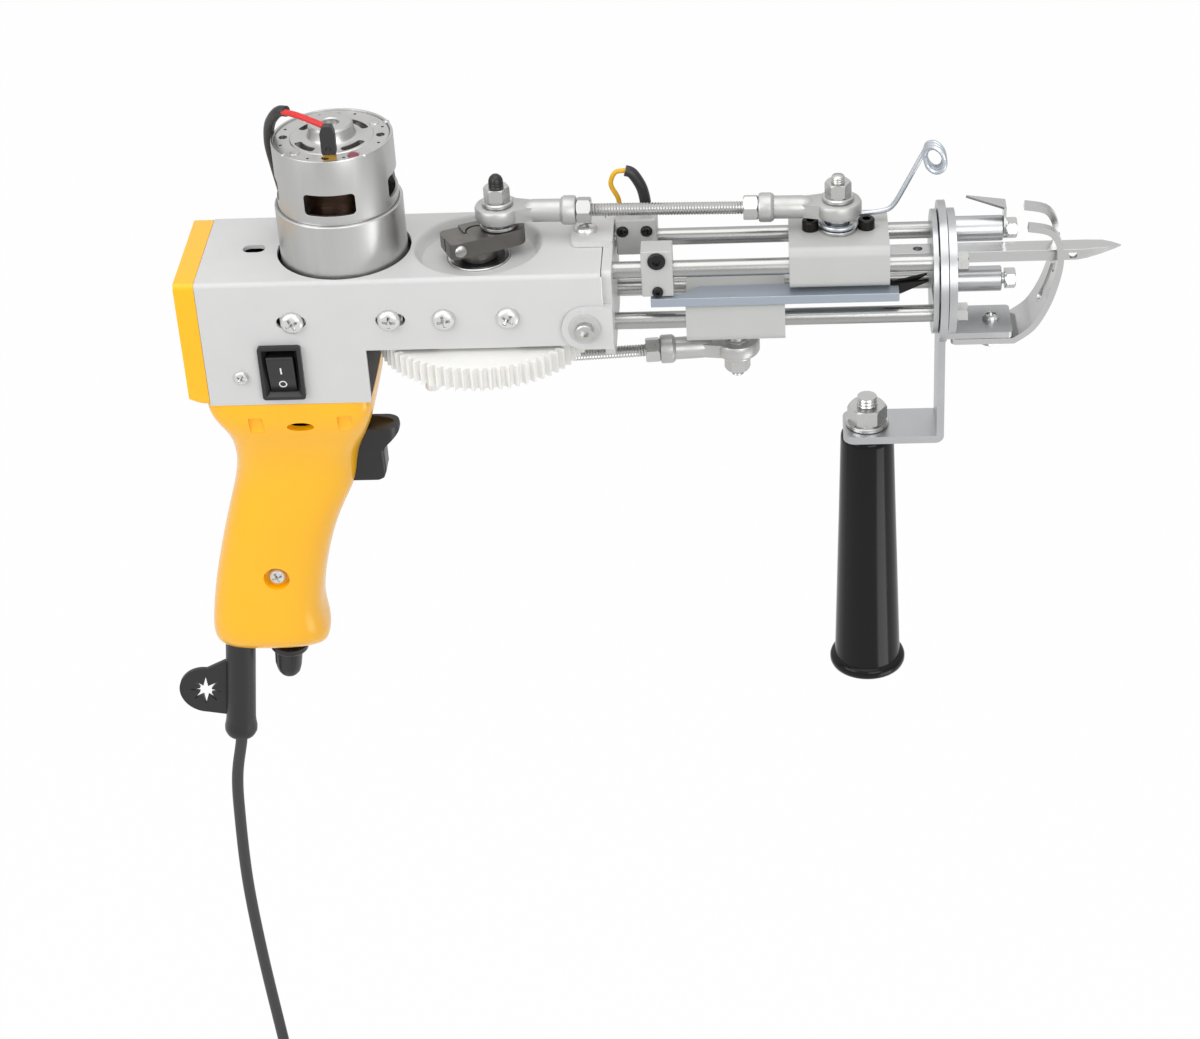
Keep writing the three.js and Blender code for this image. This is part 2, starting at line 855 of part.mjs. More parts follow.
function lofted(sections) {
  const positions = sections.flat(2);
  const triangles = [];
  const count = sections[0].length;
  for (let layer = 0; layer + 1 < sections.length; layer++) {
    for (let i = 0; i < count; i++) {
      const next = (i + 1) % count;
      const [a, b] = [layer * count + i, layer * count + next];
      const [c, d] = [a + count, b + count];
      triangles.push(a, c, b, b, c, d);
    }
  }
  const last = (sections.length - 1) * count;
  for (let i = 1; i + 1 < count; i++) {
    triangles.push(0, i, i + 1);
    triangles.push(last, last + i + 1, last + i);
  }
  const geometry = new THREE.BufferGeometry();
  geometry.setAttribute("position", new THREE.Float32BufferAttribute(positions, 3));
  geometry.setIndex(triangles);
  return asSolid(geometry);
}

const leanAt = (x, z) =>
  new THREE.Matrix4().makeTranslation(x, 0, z).multiply(new THREE.Matrix4().makeRotationY(radians(lean)));

function makeGrip() {
  const outer = lofted(gripSectionShares.map((share) => gripSection(share, 0)));
  const innerSections = gripSectionShares
    .slice(0, -1)
    .filter((share, i) => i % 2 === 0)
    .map((share) => gripSection(share, grip.wall));
  const top = innerSections[0].map(([x, y, z]) => [x, y, z + overrun]);
  const inner = lofted([top, ...innerSections]);
  const tongueX = [-body.rear + cover.lip + running, body.heelEnd - grip.wall];
  const tongueY = halfBody - body.wall - running;
  const tongueTop = -heelDepth + grip.tongue;
  const tongue = cut(
    box(tongueX, [-tongueY, tongueY], [-heelDepth - grip.wall, tongueTop]),
    box(
      [tongueX[0] + grip.tongueWall, tongueX[1] - grip.tongueWall],
      [-tongueY + grip.tongueWall, tongueY - grip.tongueWall],
      [-heelDepth - grip.wall - overrun, tongueTop + overrun],
    ),
  );
  const opening = box(
    [triggerBack - grip.wall, triggerFront + trigger.lip + overrun],
    [-trigger.halfWidth - trigger.gap, trigger.halfWidth + trigger.gap],
    [triggerBottom - trigger.gap, triggerTop + trigger.gap],
  );
  const reliefHole = moved(
    join(
      bar("z", [-overrun, grip.floor], relief.radius + seat, [0, 0, 0]),
      bar("z", [reliefSeat, reliefSeat + relief.headHeight + overrun], relief.headRadius + seat, [0, 0, 0]),
    ),
    leanAt(reliefX, gripBottom),
  );
  const knobHole = moved(
    bar("z", [-overrun, grip.floor + overrun], knob.shaft + running, [0, 0, 0]),
    leanAt(knobX, gripBottom),
  );
  const whole = cut(join(cut(outer, inner), tongue), opening, reliefHole, knobHole);
  const far = bodyWidth;
  const nearHalf = box([-far * 2, far], [-far, -grip.split], [gripBottom - overrun, 0]);
  const screwY = -halfBody;
  const pillar = bar(
    "y",
    [grip.wall / 2 - gripWaistHalf, -grip.split],
    grip.screwRecess,
    [gripScrewX, 0, gripScrewZ],
    smallSteps,
  );
  const pocketTop = -heelDepth - grip.pocketDrop;
  const pocket = (x) =>
    box(
      [x - grip.pocketWidth / 2, x + grip.pocketWidth / 2],
      [-halfBody, -halfBody + grip.pocketDepth * 1.6],
      [pocketTop - grip.pocketHeight, pocketTop],
    );
  const scoop = asSolid(
    new THREE.SphereGeometry(grip.scoopRadius, roundSteps, smallSteps).translate(
      grip.scoopInset - body.rear,
      grip.scoopDepth - halfBody - grip.scoopRadius,
      -heelDepth - grip.scoopDrop,
    ),
  );
  const detailed = (half) =>
    cut(
      join(half, pillar),
      pocket(grip.pocketRearInset - body.rear),
      pocket(body.heelEnd - grip.pocketFrontInset),
      scoop,
    );
  const nearShell = cut(
    detailed(whole.intersect(nearHalf)),
    bar("y", [screwY, screwSeatY - seat], grip.screwHead + seat, [gripScrewX, 0, gripScrewZ]),
    bar("y", [screwY, overrun], grip.screwShank + seat, [gripScrewX, 0, gripScrewZ], smallSteps),
  );
  const farShell = cut(
    mirroredY(detailed(mirroredY(whole).intersect(nearHalf))),
    bar("y", [-overrun, grip.wall * 4], grip.screwShank + seat, [gripScrewX, 0, gripScrewZ], smallSteps),
  );
  addPiece("grip_near_shell", nearShell, yellowPlastic);
  addPiece("grip_far_shell", farShell, yellowPlastic);
}

// Half the grip's width where its screw is
const gripWaistHalf = bodyWidth * gripSectionShares[12][3];

// Depth in the near shell at which the grip screw's head seats
const screwSeatY = grip.screwHeadSink + panScrew.height - gripWaistHalf;

function makeGripScrew() {
  const at = [gripScrewX, 0, gripScrewZ];
  const head = bar("y", [screwSeatY - seat - panScrew.height, screwSeatY - seat * 2], grip.screwHead, at);
  const shank = bar("y", [screwSeatY - bite - seat, grip.wall * 3], grip.screwShank, at, smallSteps);
  addPiece("grip_screw", join(head, shank), platedSteel);
}

// Trigger with a scooped top lip, and the switch behind it

function makeTrigger() {
  const { corner } = trigger;
  const [back, front, top, bottom] = [triggerBack, triggerFront, triggerTop, triggerBottom];
  const nose = front + trigger.lip;
  const noseBottom = top - trigger.lipHeight;
  const throatZ = top - trigger.throatHeight;
  const side = new THREE.Shape();
  side.moveTo(back, bottom);
  side.lineTo(front - corner, bottom);
  side.absarc(front - corner, bottom + corner, corner, -Math.PI / 2, 0, false);
  side.lineTo(front, throatZ);
  side.quadraticCurveTo(front + corner / 3, (throatZ + noseBottom) / 2, nose - corner / 2, noseBottom);
  side.quadraticCurveTo(nose + corner / 4, (noseBottom + top) / 2, nose - corner / 3, top);
  side.lineTo(back, top);
  const scoopCentre = top + trigger.scoopRadius - trigger.scoopDepth;
  const scoop = bar(
    "x",
    [back + corner, nose + overrun],
    trigger.scoopRadius,
    [0, 0, scoopCentre],
    fineSteps * 2,
  );
  const blockY = [-trigger.halfWidth, trigger.halfWidth];
  addPiece("trigger", cut(drawnOut("y", side, blockY), scoop), blackPlastic);
  const { halfWidth, plunger } = triggerSwitch;
  const switchFront = back - triggerSwitch.gap;
  const rear = switchFront - triggerSwitch.depth;
  const switchTop = -heelDepth - triggerSwitch.topDrop;
  const middle = switchTop - triggerSwitch.height / 2;
  const bodySolid = box(
    [rear, switchFront],
    [-halfWidth, halfWidth],
    [switchTop - triggerSwitch.height, switchTop],
  );
  const buttonSpan = [switchFront - bite, switchFront + running * 2];
  const button = bar("x", buttonSpan, plunger, [0, 0, middle], smallSteps);
  const webs = box(
    [rear + halfWidth, switchFront - halfWidth / 2],
    [-halfBody * gripInnerShare, halfBody * gripInnerShare],
    [middle - plunger, middle + plunger],
  );
  addPiece("trigger_switch", join(bodySolid, button, webs), blackPlastic);
}

// Share of the body's half width to which the pieces inside the grip reach
const gripInnerShare = 0.56;

// Height of the strain relief's seat over the grip's lower face, sunk so that its leaning head lies flat
const reliefSeat = grip.floor - relief.headRadius * sine(lean);

// Strain relief with its tag, speed knob and the control behind it, all leaning with the grip

function makeRelief() {
  const headBottom = reliefSeat + seat;
  const profile = [
    [0, headBottom + relief.headHeight],
    [relief.headRadius, headBottom + relief.headHeight],
    [relief.headRadius, headBottom],
    [relief.radius, headBottom],
    [relief.radius, -relief.flareStart],
    [relief.endRadius, -relief.flareEnd],
    [relief.endRadius, -relief.length],
    [0, -relief.length],
  ];
  const { tagX, tagZ, tagRadius, tagHalf } = relief;
  const disc = bar("y", [-tagHalf, tagHalf], tagRadius, [tagX, 0, tagZ], roundSteps + cornerSteps);
  const neck = drawnOut(
    "y",
    outline([
      [-relief.radius / 2, relief.tagNeckTop],
      [tagX + tagRadius * 0.1, tagZ + tagRadius * 0.98],
      [tagX + tagRadius * 0.1, tagZ - tagRadius * 0.98],
      [-relief.radius / 2, relief.tagNeckBottom],
    ]),
    [-tagHalf, tagHalf],
  );
  const star = [];
  for (let i = 0; i < starPoints * 2; i++) {
    const angle = (i / starPoints) * Math.PI;
    const reach = i % 2 ? relief.starInner : relief.starOuter;
    star.push([tagX + reach * Math.cos(angle), tagZ + reach * Math.sin(angle)]);
  }
  const hole = drawnOut("y", outline(star), [-tagHalf - overrun, tagHalf + overrun]);
  const sleeve = cut(join(turned(profile, [0, 0]), disc, neck), hole);
  addPiece("strain_relief", moved(sleeve, leanAt(reliefX, gripBottom)), blackPlastic);
}

function makeKnob() {
  const collarTop = -running - knob.collar * sine(lean);
  const profile = [
    [0, knob.shaftLength],
    [knob.shaft, knob.shaftLength],
    [knob.shaft, collarTop],
    [knob.collar, collarTop],
    [knob.collar, collarTop - knob.collarHeight],
    [knob.body, collarTop - knob.collarHeight],
    [knob.waist, -knob.shoulder],
    [knob.end, -knob.length],
    [0, -knob.length],
  ];
  const fin = box(
    [-knob.body - knob.pointer / 2, 0],
    [-knob.pointer / 2, knob.pointer / 2],
    [-knob.shoulder, collarTop - knob.collarHeight + bite / 2],
  );
  const place = leanAt(knobX, gripBottom);
  addPiece("speed_knob", moved(join(turned(profile, [0, 0]), fin), place), blackPlastic);
  const bottom = grip.floor + running + (control.depth / 2) * sine(lean);
  const can = cut(
    box(
      [-control.depth / 2, control.depth / 2],
      [-control.halfWidth, control.halfWidth],
      [bottom, bottom + control.height],
    ),
    bar("z", [bottom - overrun, knob.shaftLength + running], knob.shaft + running, [0, 0, 0]),
  );
  addPiece("speed_control", moved(can, place), blackPlastic);
}

// Motor

const around = (angle) => new THREE.Matrix4().makeRotationZ(radians(angle));

function makeMotor() {
  const { canRadius, canWall, canTop, canBottom } = motor;
  const inner = canRadius - canWall;
  const can = turned(
    [
      [motor.shaftRadius + running, canBottom],
      [motor.shaftRadius + running, canBottom - motor.noseHeight],
      [motor.noseRadius, canBottom - motor.noseHeight],
      [motor.noseRadius, canBottom],
      [canRadius, canBottom],
      [canRadius, canTop],
      [inner, canTop],
      [inner, motor.magnetTop],
      [magnetInner, motor.magnetTop],
      [magnetInner, canBottom + canWall],
      [motor.shaftRadius + running, canBottom + canWall],
    ],
    [0, 0],
    fineSteps,
  );
  const windows = [0, 90].map((angle) =>
    moved(
      box(
        [-motor.windowWidth / 2, motor.windowWidth / 2],
        [-canRadius - overrun, canRadius + overrun],
        [motor.windowBottom, motor.windowTop],
      ),
      around(angle),
    ),
  );
  addPiece("motor_can", cut(can, ...windows), platedSteel);
  const ring = turned(
    [
      [canRadius + seat, motor.ringBottom],
      [ringRadius, motor.ringBottom],
      [ringRadius, motor.ringTop],
      [canRadius + seat, motor.ringTop],
    ],
    [0, 0],
    fineSteps,
  );
  addPiece("motor_flux_ring", ring, platedSteel);
  makeEndCap(inner);
  makeRotor();
}

function makeEndCap(inner) {
  const top = motor.canTop - motor.capInset;
  const capRadius = inner - seat;
  const cap = turned(
    [
      [0, top - motor.capThickness],
      [capRadius, top - motor.capThickness],
      [capRadius, top],
      [motor.hubRadius + 1.2 * bite, top],
      [motor.hubRadius, top + bite],
      [motor.hubRadius * 0.92, top + motor.hubHeight],
      [0, top + motor.hubHeight],
    ],
    [0, 0],
    fineSteps,
  );
  const vents = [];
  for (const angle of [45, 135, 225, 315]) {
    const arc = new THREE.Shape();
    const half = radians(motor.ventAngle) / 2;
    arc.absarc(0, 0, motor.ventOuter, -half, half, false);
    arc.absarc(0, 0, motor.ventInner, half, -half, true);
    const through = drawnOut("z", arc, [top - motor.capThickness - overrun, top + overrun]);
    vents.push(moved(through, around(angle)));
  }
  for (const angle of [0, 90, 180, 270]) {
    const reach = (motor.ventOuter + capRadius) / 2;
    const at = [reach * cosine(angle), reach * sine(angle), 0];
    vents.push(bar("z", [top - motor.ventHole, top + overrun], motor.ventHole, at, smallSteps));
  }
  const pocket = bar(
    "z",
    [top - motor.capThickness - overrun, top + motor.hubHeight * 0.4],
    motor.shaftRadius + running,
    [0, 0, 0],
    smallSteps,
  );
  const bay = box(
    [terminal.x - terminal.width / 2, terminal.x + terminal.width / 2],
    [terminal.y - terminal.tab / 2, terminal.y + terminal.tab / 2],
    [top - motor.capThickness + bite, terminal.bottom],
  );
  addPiece("motor_end_cap", join(cut(cap, ...vents, pocket), bay), platedSteel);
}

function gearOutline(teeth, thinning) {
  const pitch = (gearModule * teeth) / 2;
  const base = pitch * cosine(pressureAngle);
  const tip = pitch + gearModule;
  const root = pitch - gearModule - gear.clearance;
  const involute = (angle) => Math.tan(angle) - angle;
  const halfAt = (radius) => {
    const quarter = (Math.PI / 2 - thinning / gearModule) / teeth;
    const contact = radius > base ? Math.acos(base / radius) : 0;
    return quarter + involute(radians(pressureAngle)) - involute(contact);
  };
  const shape = new THREE.Shape();
  for (let i = 0; i < teeth; i++) {
    const middle = ((i + 0.5) / teeth) * Math.PI * 2;
    const corners = [
      [root, middle - halfAt(root)],
      [tip, middle - halfAt(tip)],
      [tip, middle + halfAt(tip)],
      [root, middle + halfAt(root)],
    ];
    for (const [radius, angle] of corners) {
      const place = [radius * Math.cos(angle), radius * Math.sin(angle)];
      if (shape.curves.length || shape.currentPoint.length()) shape.lineTo(...place);
      else shape.moveTo(...place);
    }
  }
  return shape;
}

function makeRotor() {
  const gearBottom = -gear.top - gear.face;
  const top = motor.canTop - motor.capInset;
  const coreRadius = magnetInner - motor.airGap;
  const core = turned(
    [
      [0, motor.windingBottom],
      [motor.windingRadius, motor.windingBottom],
      [motor.windingRadius, motor.coreBottom],
      [coreRadius, motor.coreBottom],
      [coreRadius, motor.coreTop],
      [motor.windingRadius, motor.coreTop],
      [motor.windingRadius, motor.windingTop],
      [motor.hubRadius, motor.windingTop + motor.noseHeight],
      [motor.hubRadius, top - motor.capThickness - motor.noseHeight],
      [0, top - motor.capThickness - motor.noseHeight],
    ],
    [0, 0],
  );
  const spindle = bar("z", [gearBottom, top + motor.hubHeight * 0.4 - running], motor.shaftRadius, [0, 0, 0]);
  const pinion = drawnOut("z", gearOutline(pinionTeeth, gear.backlash), [gearBottom, -gear.top]);
  addPiece("motor_rotor_with_pinion", join(core, spindle, pinion), copper);
}

// Saddle under the motor, held by four screws through slots in the body's sides
function makeMotorMount() {
  const face = motor.canBottom - seat;
  const floor = [face - mount.thickness, face];
  const halfLength = mount.length / 2;
  const sideY = halfBody - body.wall - seat;
  const plate = box([-halfLength, halfLength], [-sideY, sideY], floor);
  const ear = box(
    [-halfLength, halfLength],
    [-sideY, mount.side - sideY],
    [face - mount.thickness, mount.earTop],
  );
  const boreRadius = motor.noseRadius + mount.boreGap;
  const bore = bar("z", [floor[0] - overrun, floor[1] + overrun], boreRadius, [0, 0, 0]);
  const screws = [-1, 1].flatMap((sign) => {
    const near = sideScrew(sign * mountScrewX, -sideSlot.drop, -sideY + mount.side / 2);
    return [near, mirroredY(near)];
  });
  addPiece("motor_mount", join(cut(join(plate, ear, mirroredY(ear)), bore), ...screws), platedSteel);
}

// Leads: the terminal sleeve with the red wire, and the black sleeved lead down to the body
function makeLeads() {
  const { x, y, width, depth, bottom, top } = terminal;
  const sleeve = box(
    [x - width / 2, x + width / 2],
    [y - depth / 2, y + depth / 2],
    [bottom + seat, top],
  );
  const red = wire(
    [
      [x, y, top - terminal.tab],
      [x - terminal.width / 3, y + depth, top + lead.red * 1.6],
      [x - width * 1.6, y + depth * 3, top + lead.red * 2],
      [-motor.canRadius * 0.78, -lead.black * 2, top + lead.red / 2],
    ],
    lead.red,
    roundSteps / 2,
  );
  addPiece("motor_lead_red", join(sleeve, red), redWire);
  const hug = ringRadius + lead.black + seat * 3;
  const black = wire(
    [
      [-motor.canRadius * 0.8, -lead.black * 1.2, top - lead.black * 1.2],
      [-hug * 0.96, lead.black / 2, motor.canTop + lead.black * 2],
      [-hug, lead.black * 2, motor.canTop - lead.black * 3],
      [-hug, lead.black * 3.4, motor.windowBottom],
      [-body.leadHoleX - lead.black, body.leadHoleY - lead.black * 1.6, motor.ringTop / 2],
      [-body.leadHoleX, body.leadHoleY, lead.black],
      [-body.leadHoleX, body.leadHoleY, -lead.black * 3],
    ],
    lead.black,
    roundSteps,
  );
  addPiece("motor_lead_black", black, blackPlastic);
}

// Crank shaft, bearings, block, gear and arm

function makeCrankDrive() {
  const upperTop = -dish.depth + bearing.facing;
  const upperBottom = upperTop - bearing.width;
  const lowerBottom = -block.bottom;
  const lowerTop = lowerBottom + bearing.width;
  const makeBearing = (name, bottom, top) => {
    const ring = bearing.outer * bearing.ringShare;
    const hub = bearing.bore + (bearing.outer - ring);
    const race = turned(
      [
        [bearing.bore, bottom],
        [bearing.outer, bottom],
        [bearing.outer, top],
        [ring, top],
        [ring, top - bearing.facing],
        [hub, top - bearing.facing],
        [hub, top],
        [bearing.bore, top],
      ],
      [crankX, 0],
      bearingSteps,
    );
    addPiece(name, race, chrome);
  };
  makeBearing("upper_bearing", upperBottom, upperTop);
  makeBearing("lower_bearing", lowerBottom, lowerTop);

  const sideY = halfBody - body.wall - seat;
  const halfLength = block.length / 2;
  const well = bearing.outer + seat;
  const screws = [-1, 1].flatMap((sign) => {
    const near = sideScrew(crankX + (sign * block.screwSpread) / 2, -block.screwDrop, -sideY + overrun);
    return [near, mirroredY(near)];
  });
  const core = cut(
    box([crankX - halfLength, crankX + halfLength], [-sideY, sideY], [-block.bottom, -block.top]),
    bar("z", [upperBottom - seat, overrun], well, [crankX, 0, 0], bearingSteps),
    bar("z", [-block.bottom - overrun, lowerTop + seat], well, [crankX, 0, 0], bearingSteps),
    bar("z", [-block.bottom, 0], block.bore, [crankX, 0, 0]),
  );
  addPiece("bearing_block", join(core, ...screws), nylon);

  const shaftTop = arm.top - running;
  const gearSeat = -gear.top - gear.face;
  const spindle = join(
    bar("z", [gearSeat + seat, shaftTop], shaft.radius, [crankX, 0, 0]),
    bar("z", [upperTop + seat, -shaft.collarTop], shaft.collarRadius, [crankX, 0, 0]),
    bar("z", [-block.bottom - running * 2, -block.bottom - seat], gear.spacerRadius, [crankX, 0, 0]),
  );
  addPiece("crank_shaft", spindle, platedSteel);
  makeGear(gearSeat);
  makeArm();
}

// The wheel stands half a tooth round, so that the pinion's teeth lie in its gaps
function makeGear(bottom) {
  const through = [bottom - overrun, overrun - gear.top];
  const wheel = moved(
    drawnOut("z", gearOutline(gearTeeth, gear.backlash), [bottom, -gear.top]),
    new THREE.Matrix4().makeTranslation(crankX, 0, 0).multiply(around(180 / gearTeeth)),
  );
  const bored = cut(
    wheel,
    bar("z", through, shaft.radius + seat / 2, [crankX, 0, 0]),
    bar("z", through, stud.radius, [...lowerPin, 0], smallSteps),
  );
  addPiece("main_gear", bored, nylon);
}

function makeArm() {
  const swing = new THREE.Matrix4()
    .makeTranslation(crankX, 0, 0)
    .multiply(new THREE.Matrix4().makeRotationZ(radians(crankAngle)));
  const half = arm.width / 2;
  const plan = roundedBox2d([-arm.behind, arm.ahead], [-half, half], arm.cornerRadius);
  const pinchAt = [arm.pinchInset - arm.behind, 0, (arm.top + arm.bottom) / 2];
  const slab = cut(
    drawnOut("z", plan, [arm.bottom, arm.top]),
    bar("z", [arm.bottom - overrun, arm.top + overrun], roundBore(shaft.radius), [0, 0, 0]),
    box(
      [-arm.behind - overrun, 0],
      [-arm.slit / 2, arm.slit / 2],
      [arm.bottom - overrun, arm.top + overrun],
    ),
    bar("y", [-half - overrun, clampScrew.socketDepth - half], arm.screwRadius, pinchAt, smallSteps),
  );
  const screw = cut(
    bar("y", [clampScrew.socketDepth / 2 - half, 0], arm.screwRadius * 0.8, pinchAt, smallSteps),
    box([-arm.behind, 0], [-arm.slit / 2, overrun], [arm.bottom, arm.top]),
  );
  addPiece("crank_arm", moved(join(slab, screw), swing), blackSteel);
}

// Rod end: a ring with a neck and a collar, drawn with its ring at the origin and its neck along +X
function rodEndSolid() {
  const { ring, ringHeight, ball, neck, neckEnd, collar, collarLength, edge } = rodEnd;
  const half = ringHeight / 2;
  const socket = ball + running;
  const lip = Math.sqrt(socket ** 2 - half ** 2);
  const eye = turned(
    [
      [lip, -half],
      [ring - edge, -half],
      [ring, -half + edge],
      [ring, half - edge],
      [ring - edge, half],
      [lip, half],
      [socket, 0],
    ],
    [0, 0],
  );
  const flats = half * 0.86;
  const shank = bar("x", [ring - edge, neckEnd], neck, [0, 0, 0]);
  const blend = box([ring - edge * 2, ring + neck], [-flats - edge, flats + edge], [-flats, flats]);
  const end = bar("x", [neckEnd - bite, neckEnd + collarLength], collar, [0, 0, 0]);
  return join(eye, blend, shank, end);
}

// Threaded rod with its two jam nuts, between the collars of two rod ends
function tieRodSolid(length) {
  const start = rodEnd.neckEnd + rodEnd.collarLength + seat;
  const end = length - start;
  return join(
    bar("x", [start, end], tie.radius, [0, 0, 0], smallSteps),
    hexagon("x", [start, start + tie.nutLength], tie.nutFlats, [0, 0, 0]),
    hexagon("x", [end - tie.nutLength, end], tie.nutFlats, [0, 0, 0]),
  );
}

// Ball stud along Z with its ball at the origin: washers from its foot, and a nut past the ball
function studSolid(foot, hasCap) {
  const { radius, washer, washerHeight, neck, shoulder, shoulderHeight, nutHeight, tip } = stud;
  const half = rodEnd.ringHeight / 2;
  const ballCut = Math.sqrt(rodEnd.ball ** 2 - half ** 2);
  const nutBottom = shoulderHeight;
  const nutTop = nutBottom + nutHeight;
  const column = turned(
    [
      [0, foot],
      [washer, foot],
      [washer, foot + washerHeight],
      [neck, foot + washerHeight],
      [ballCut, -half],
      [rodEnd.ball, 0],
      [ballCut, half],
      [shoulder, half + running],
      [shoulder, nutBottom],
      [0, nutBottom],
    ],
    [0, 0],
  );
  const nut = hexagon("z", [nutBottom - bite / 2, nutTop], stud.nutFlats, [0, 0, 0]);
  const end = hasCap
    ? bar("z", [nutTop - bite / 2, nutTop + tip + radius], stud.capRadius, [0, 0, 0], smallSteps, radius)
    : bar("z", [nutTop - bite / 2, nutTop + tip], radius, [0, 0, 0], smallSteps);
  return join(column, nut, end);
}

// The two slider-crank rods, each hung from its slider's stud and opened at its crank pin

function makeRods() {
  const flipX = new THREE.Matrix4().makeRotationZ(Math.PI);
  const flipZ = new THREE.Matrix4().makeRotationX(Math.PI);
  const armGap = arm.top + running - upperRodZ;
  const gearGap = gear.top + gear.face + running + lowerRodZ;
  const rodsBuilt = [
    ["upper", upperSliderX, upperPin, upperRodZ, upperRodLength, armGap, true],
    ["lower", lowerSliderX, lowerPin, lowerRodZ, lowerRodLength, gearGap, false],
  ];
  for (const [level, sliderX, pin, z, length, pinFoot, hasCap] of rodsBuilt) {
    const group = new THREE.Group();
    group.position.set(sliderX, 0, z);
    group.rotation.z = Math.asin(-pin[1] / length);
    pieces.add(group);
    const rear = new THREE.Matrix4().makeTranslation(-length, 0, 0);
    const upright = level === "lower" ? flipZ : new THREE.Matrix4();
    addPiece(level + "_rod_end_front", moved(rodEndSolid(), flipX), chrome, group);
    addPiece(level + "_rod_end_rear", moved(rodEndSolid(), rear), chrome, group);
    addPiece(level + "_tie_rod", moved(tieRodSolid(length), flipX), platedSteel, group);
    const pinStud = moved(studSolid(pinFoot, hasCap), rear.clone().multiply(upright));
    addPiece(level + "_crank_pin", pinStud, platedSteel, group);
    const sliderFace = level === "upper" ? upperSliderTop - upperRodZ : lowerRodZ - lowerSliderBottom;
    const frontStud = moved(studSolid(sliderFace + seat, false), upright);
    frontStudOf[level] = moved(frontStud, new THREE.Matrix4().makeTranslation(sliderX, 0, z));
  }
}
const frontStudOf = {};

// Sliders

function sliderSolid(x, z) {
  const halfX = slider.length / 2;
  const section = roundedBox2d(
    [-slider.width / 2, slider.width / 2],
    [z - slider.height / 2, z + slider.height / 2],
    slider.corner,
  );
  const bores = [-1, 1].map((sign) =>
    bar("x", [x - halfX - overrun, x + halfX + overrun], rods.radius + running, [0, sign * rods.spreadY, z]),
  );
  return cut(drawnOut("x", section, [x - halfX, x + halfX]), ...bores);
}

function socketScrew(x, y, top, height, radius) {
  return cut(
    bar("z", [top - bite, top + height], radius, [x, y, 0]),
    hexagon(
      "z",
      [top + height - clampScrew.socketDepth, top + height + overrun],
      clampScrew.socket * 2,
      [x, y, 0],
    ),
  );
}

function makeSliders() {
  const needleBore = box(
    [needle.rear - overrun, upperSliderX + slider.length],
    [-needle.width / 2 - seat, needle.width / 2 + seat],
    [needle.bottom - seat, needle.top + seat],
  );
  const spread = slider.clampSpread / 2;
  const top = upperSliderTop;
  const clampScrews = [-1, 1].map((sign) =>
    socketScrew(upperSliderX + sign * spread, 0, top, clampScrew.height, clampScrew.radius),
  );
  const upper = join(cut(sliderSolid(upperSliderX, rods.upperZ), needleBore), ...clampScrews);
  addPiece("needle_slider", upper, paint);
  addPiece("upper_slider_stud", frontStudOf.upper, platedSteel);
  addPiece("cutter_slider", sliderSolid(lowerSliderX, rods.lowerZ), paint);
  addPiece("lower_slider_stud", frontStudOf.lower, platedSteel);
}

// Needle: a flat bar that becomes a grooved hollow needle with an eye and a slanted point
function makeNeedle() {
  const { rear, shoulder, tip, width, top, bottom, tipZ } = needle;
  const half = width / 2;
  const taper = tip - shoulder;
  const plan = outline([
    [rear, -half],
    [shoulder + taper * 0.4, -half],
    [shoulder + taper * 0.75, -half * 0.55],
    [tip, 0],
    [shoulder + taper * 0.7, half * 0.9],
    [shoulder + taper * 0.45, half],
    [rear, half],
  ]);
  const side = outline([
    [rear, bottom],
    [shoulder + taper * 0.25, bottom],
    [shoulder + taper * 0.6, bottom + (tipZ - bottom) * 0.35],
    [tip, tipZ],
    [shoulder + taper * 0.85, top],
    [rear, top],
  ]);
  const blank = drawnOut("z", plan, [bottom, top]).intersect(drawnOut("y", side, [-half, half]));
  const groove = box(
    [needle.grooveStart, needle.grooveEnd],
    [-needle.grooveWidth / 2, needle.grooveWidth / 2],
    [bottom - overrun, bottom + needle.grooveDepth],
  );
  const through = [bottom - overrun, top + overrun];
  const eye = bar("z", through, needle.eyeRadius, [needle.eyeX, 0, 0], smallSteps);
  const hole = bar("z", through, needle.holeRadius, [needle.holeX, 0, 0], smallSteps);
  addPiece("needle", cut(blank, groove, eye, hole), chrome);
}

// Yarn guide: a sprung wire from an eye round the stud's neck up to its open turns
function makeYarnGuide() {
  const { radius, reach, rise, turnRadius, turnPitch, turns, eyeStart, eyeArc } = yarnGuide;
  const eyeRadius = stud.neck + radius + seat * 2;
  const low = upperSliderTop + stud.washerHeight + radius + seat * 3;
  const points = [];
  for (let i = 0; i <= smallSteps; i++) {
    const angle = eyeStart - (eyeArc * i) / smallSteps;
    points.push([upperSliderX + eyeRadius * cosine(angle), eyeRadius * sine(angle), low]);
  }
  const turnX = upperSliderX + reach;
  const turnZ = low + rise;
  for (const [along, up] of yarnGuide.bendShares) {
    points.push([upperSliderX + along * reach, eyeRadius, low + up * rise]);
  }
  for (let i = 0; i <= turns * smallSteps; i++) {
    const angle = 180 - (i * 360) / smallSteps;
    points.push([
      turnX + turnRadius * cosine(angle),
      eyeRadius - (i * turnPitch) / smallSteps,
      turnZ + turnRadius * sine(angle),
    ]);
  }
  addPiece("yarn_guide", wire(points, radius, yarnGuideSteps, yarnGuideSides), platedSteel);
}

// Push bar with the lower shear blade, and the blade that swings on its pin; the blades stand
// between bladeFace and the bar's far edge

const bladeFace = push.nearY + push.wide - blade.thickness * 2 - blade.gap * 2;
const pushBottom = lowerSliderTop + seat;
const bladePivotX = push.front - blade.pivotInset;
const bladePivotZ = pushBottom + push.thickness / 2;

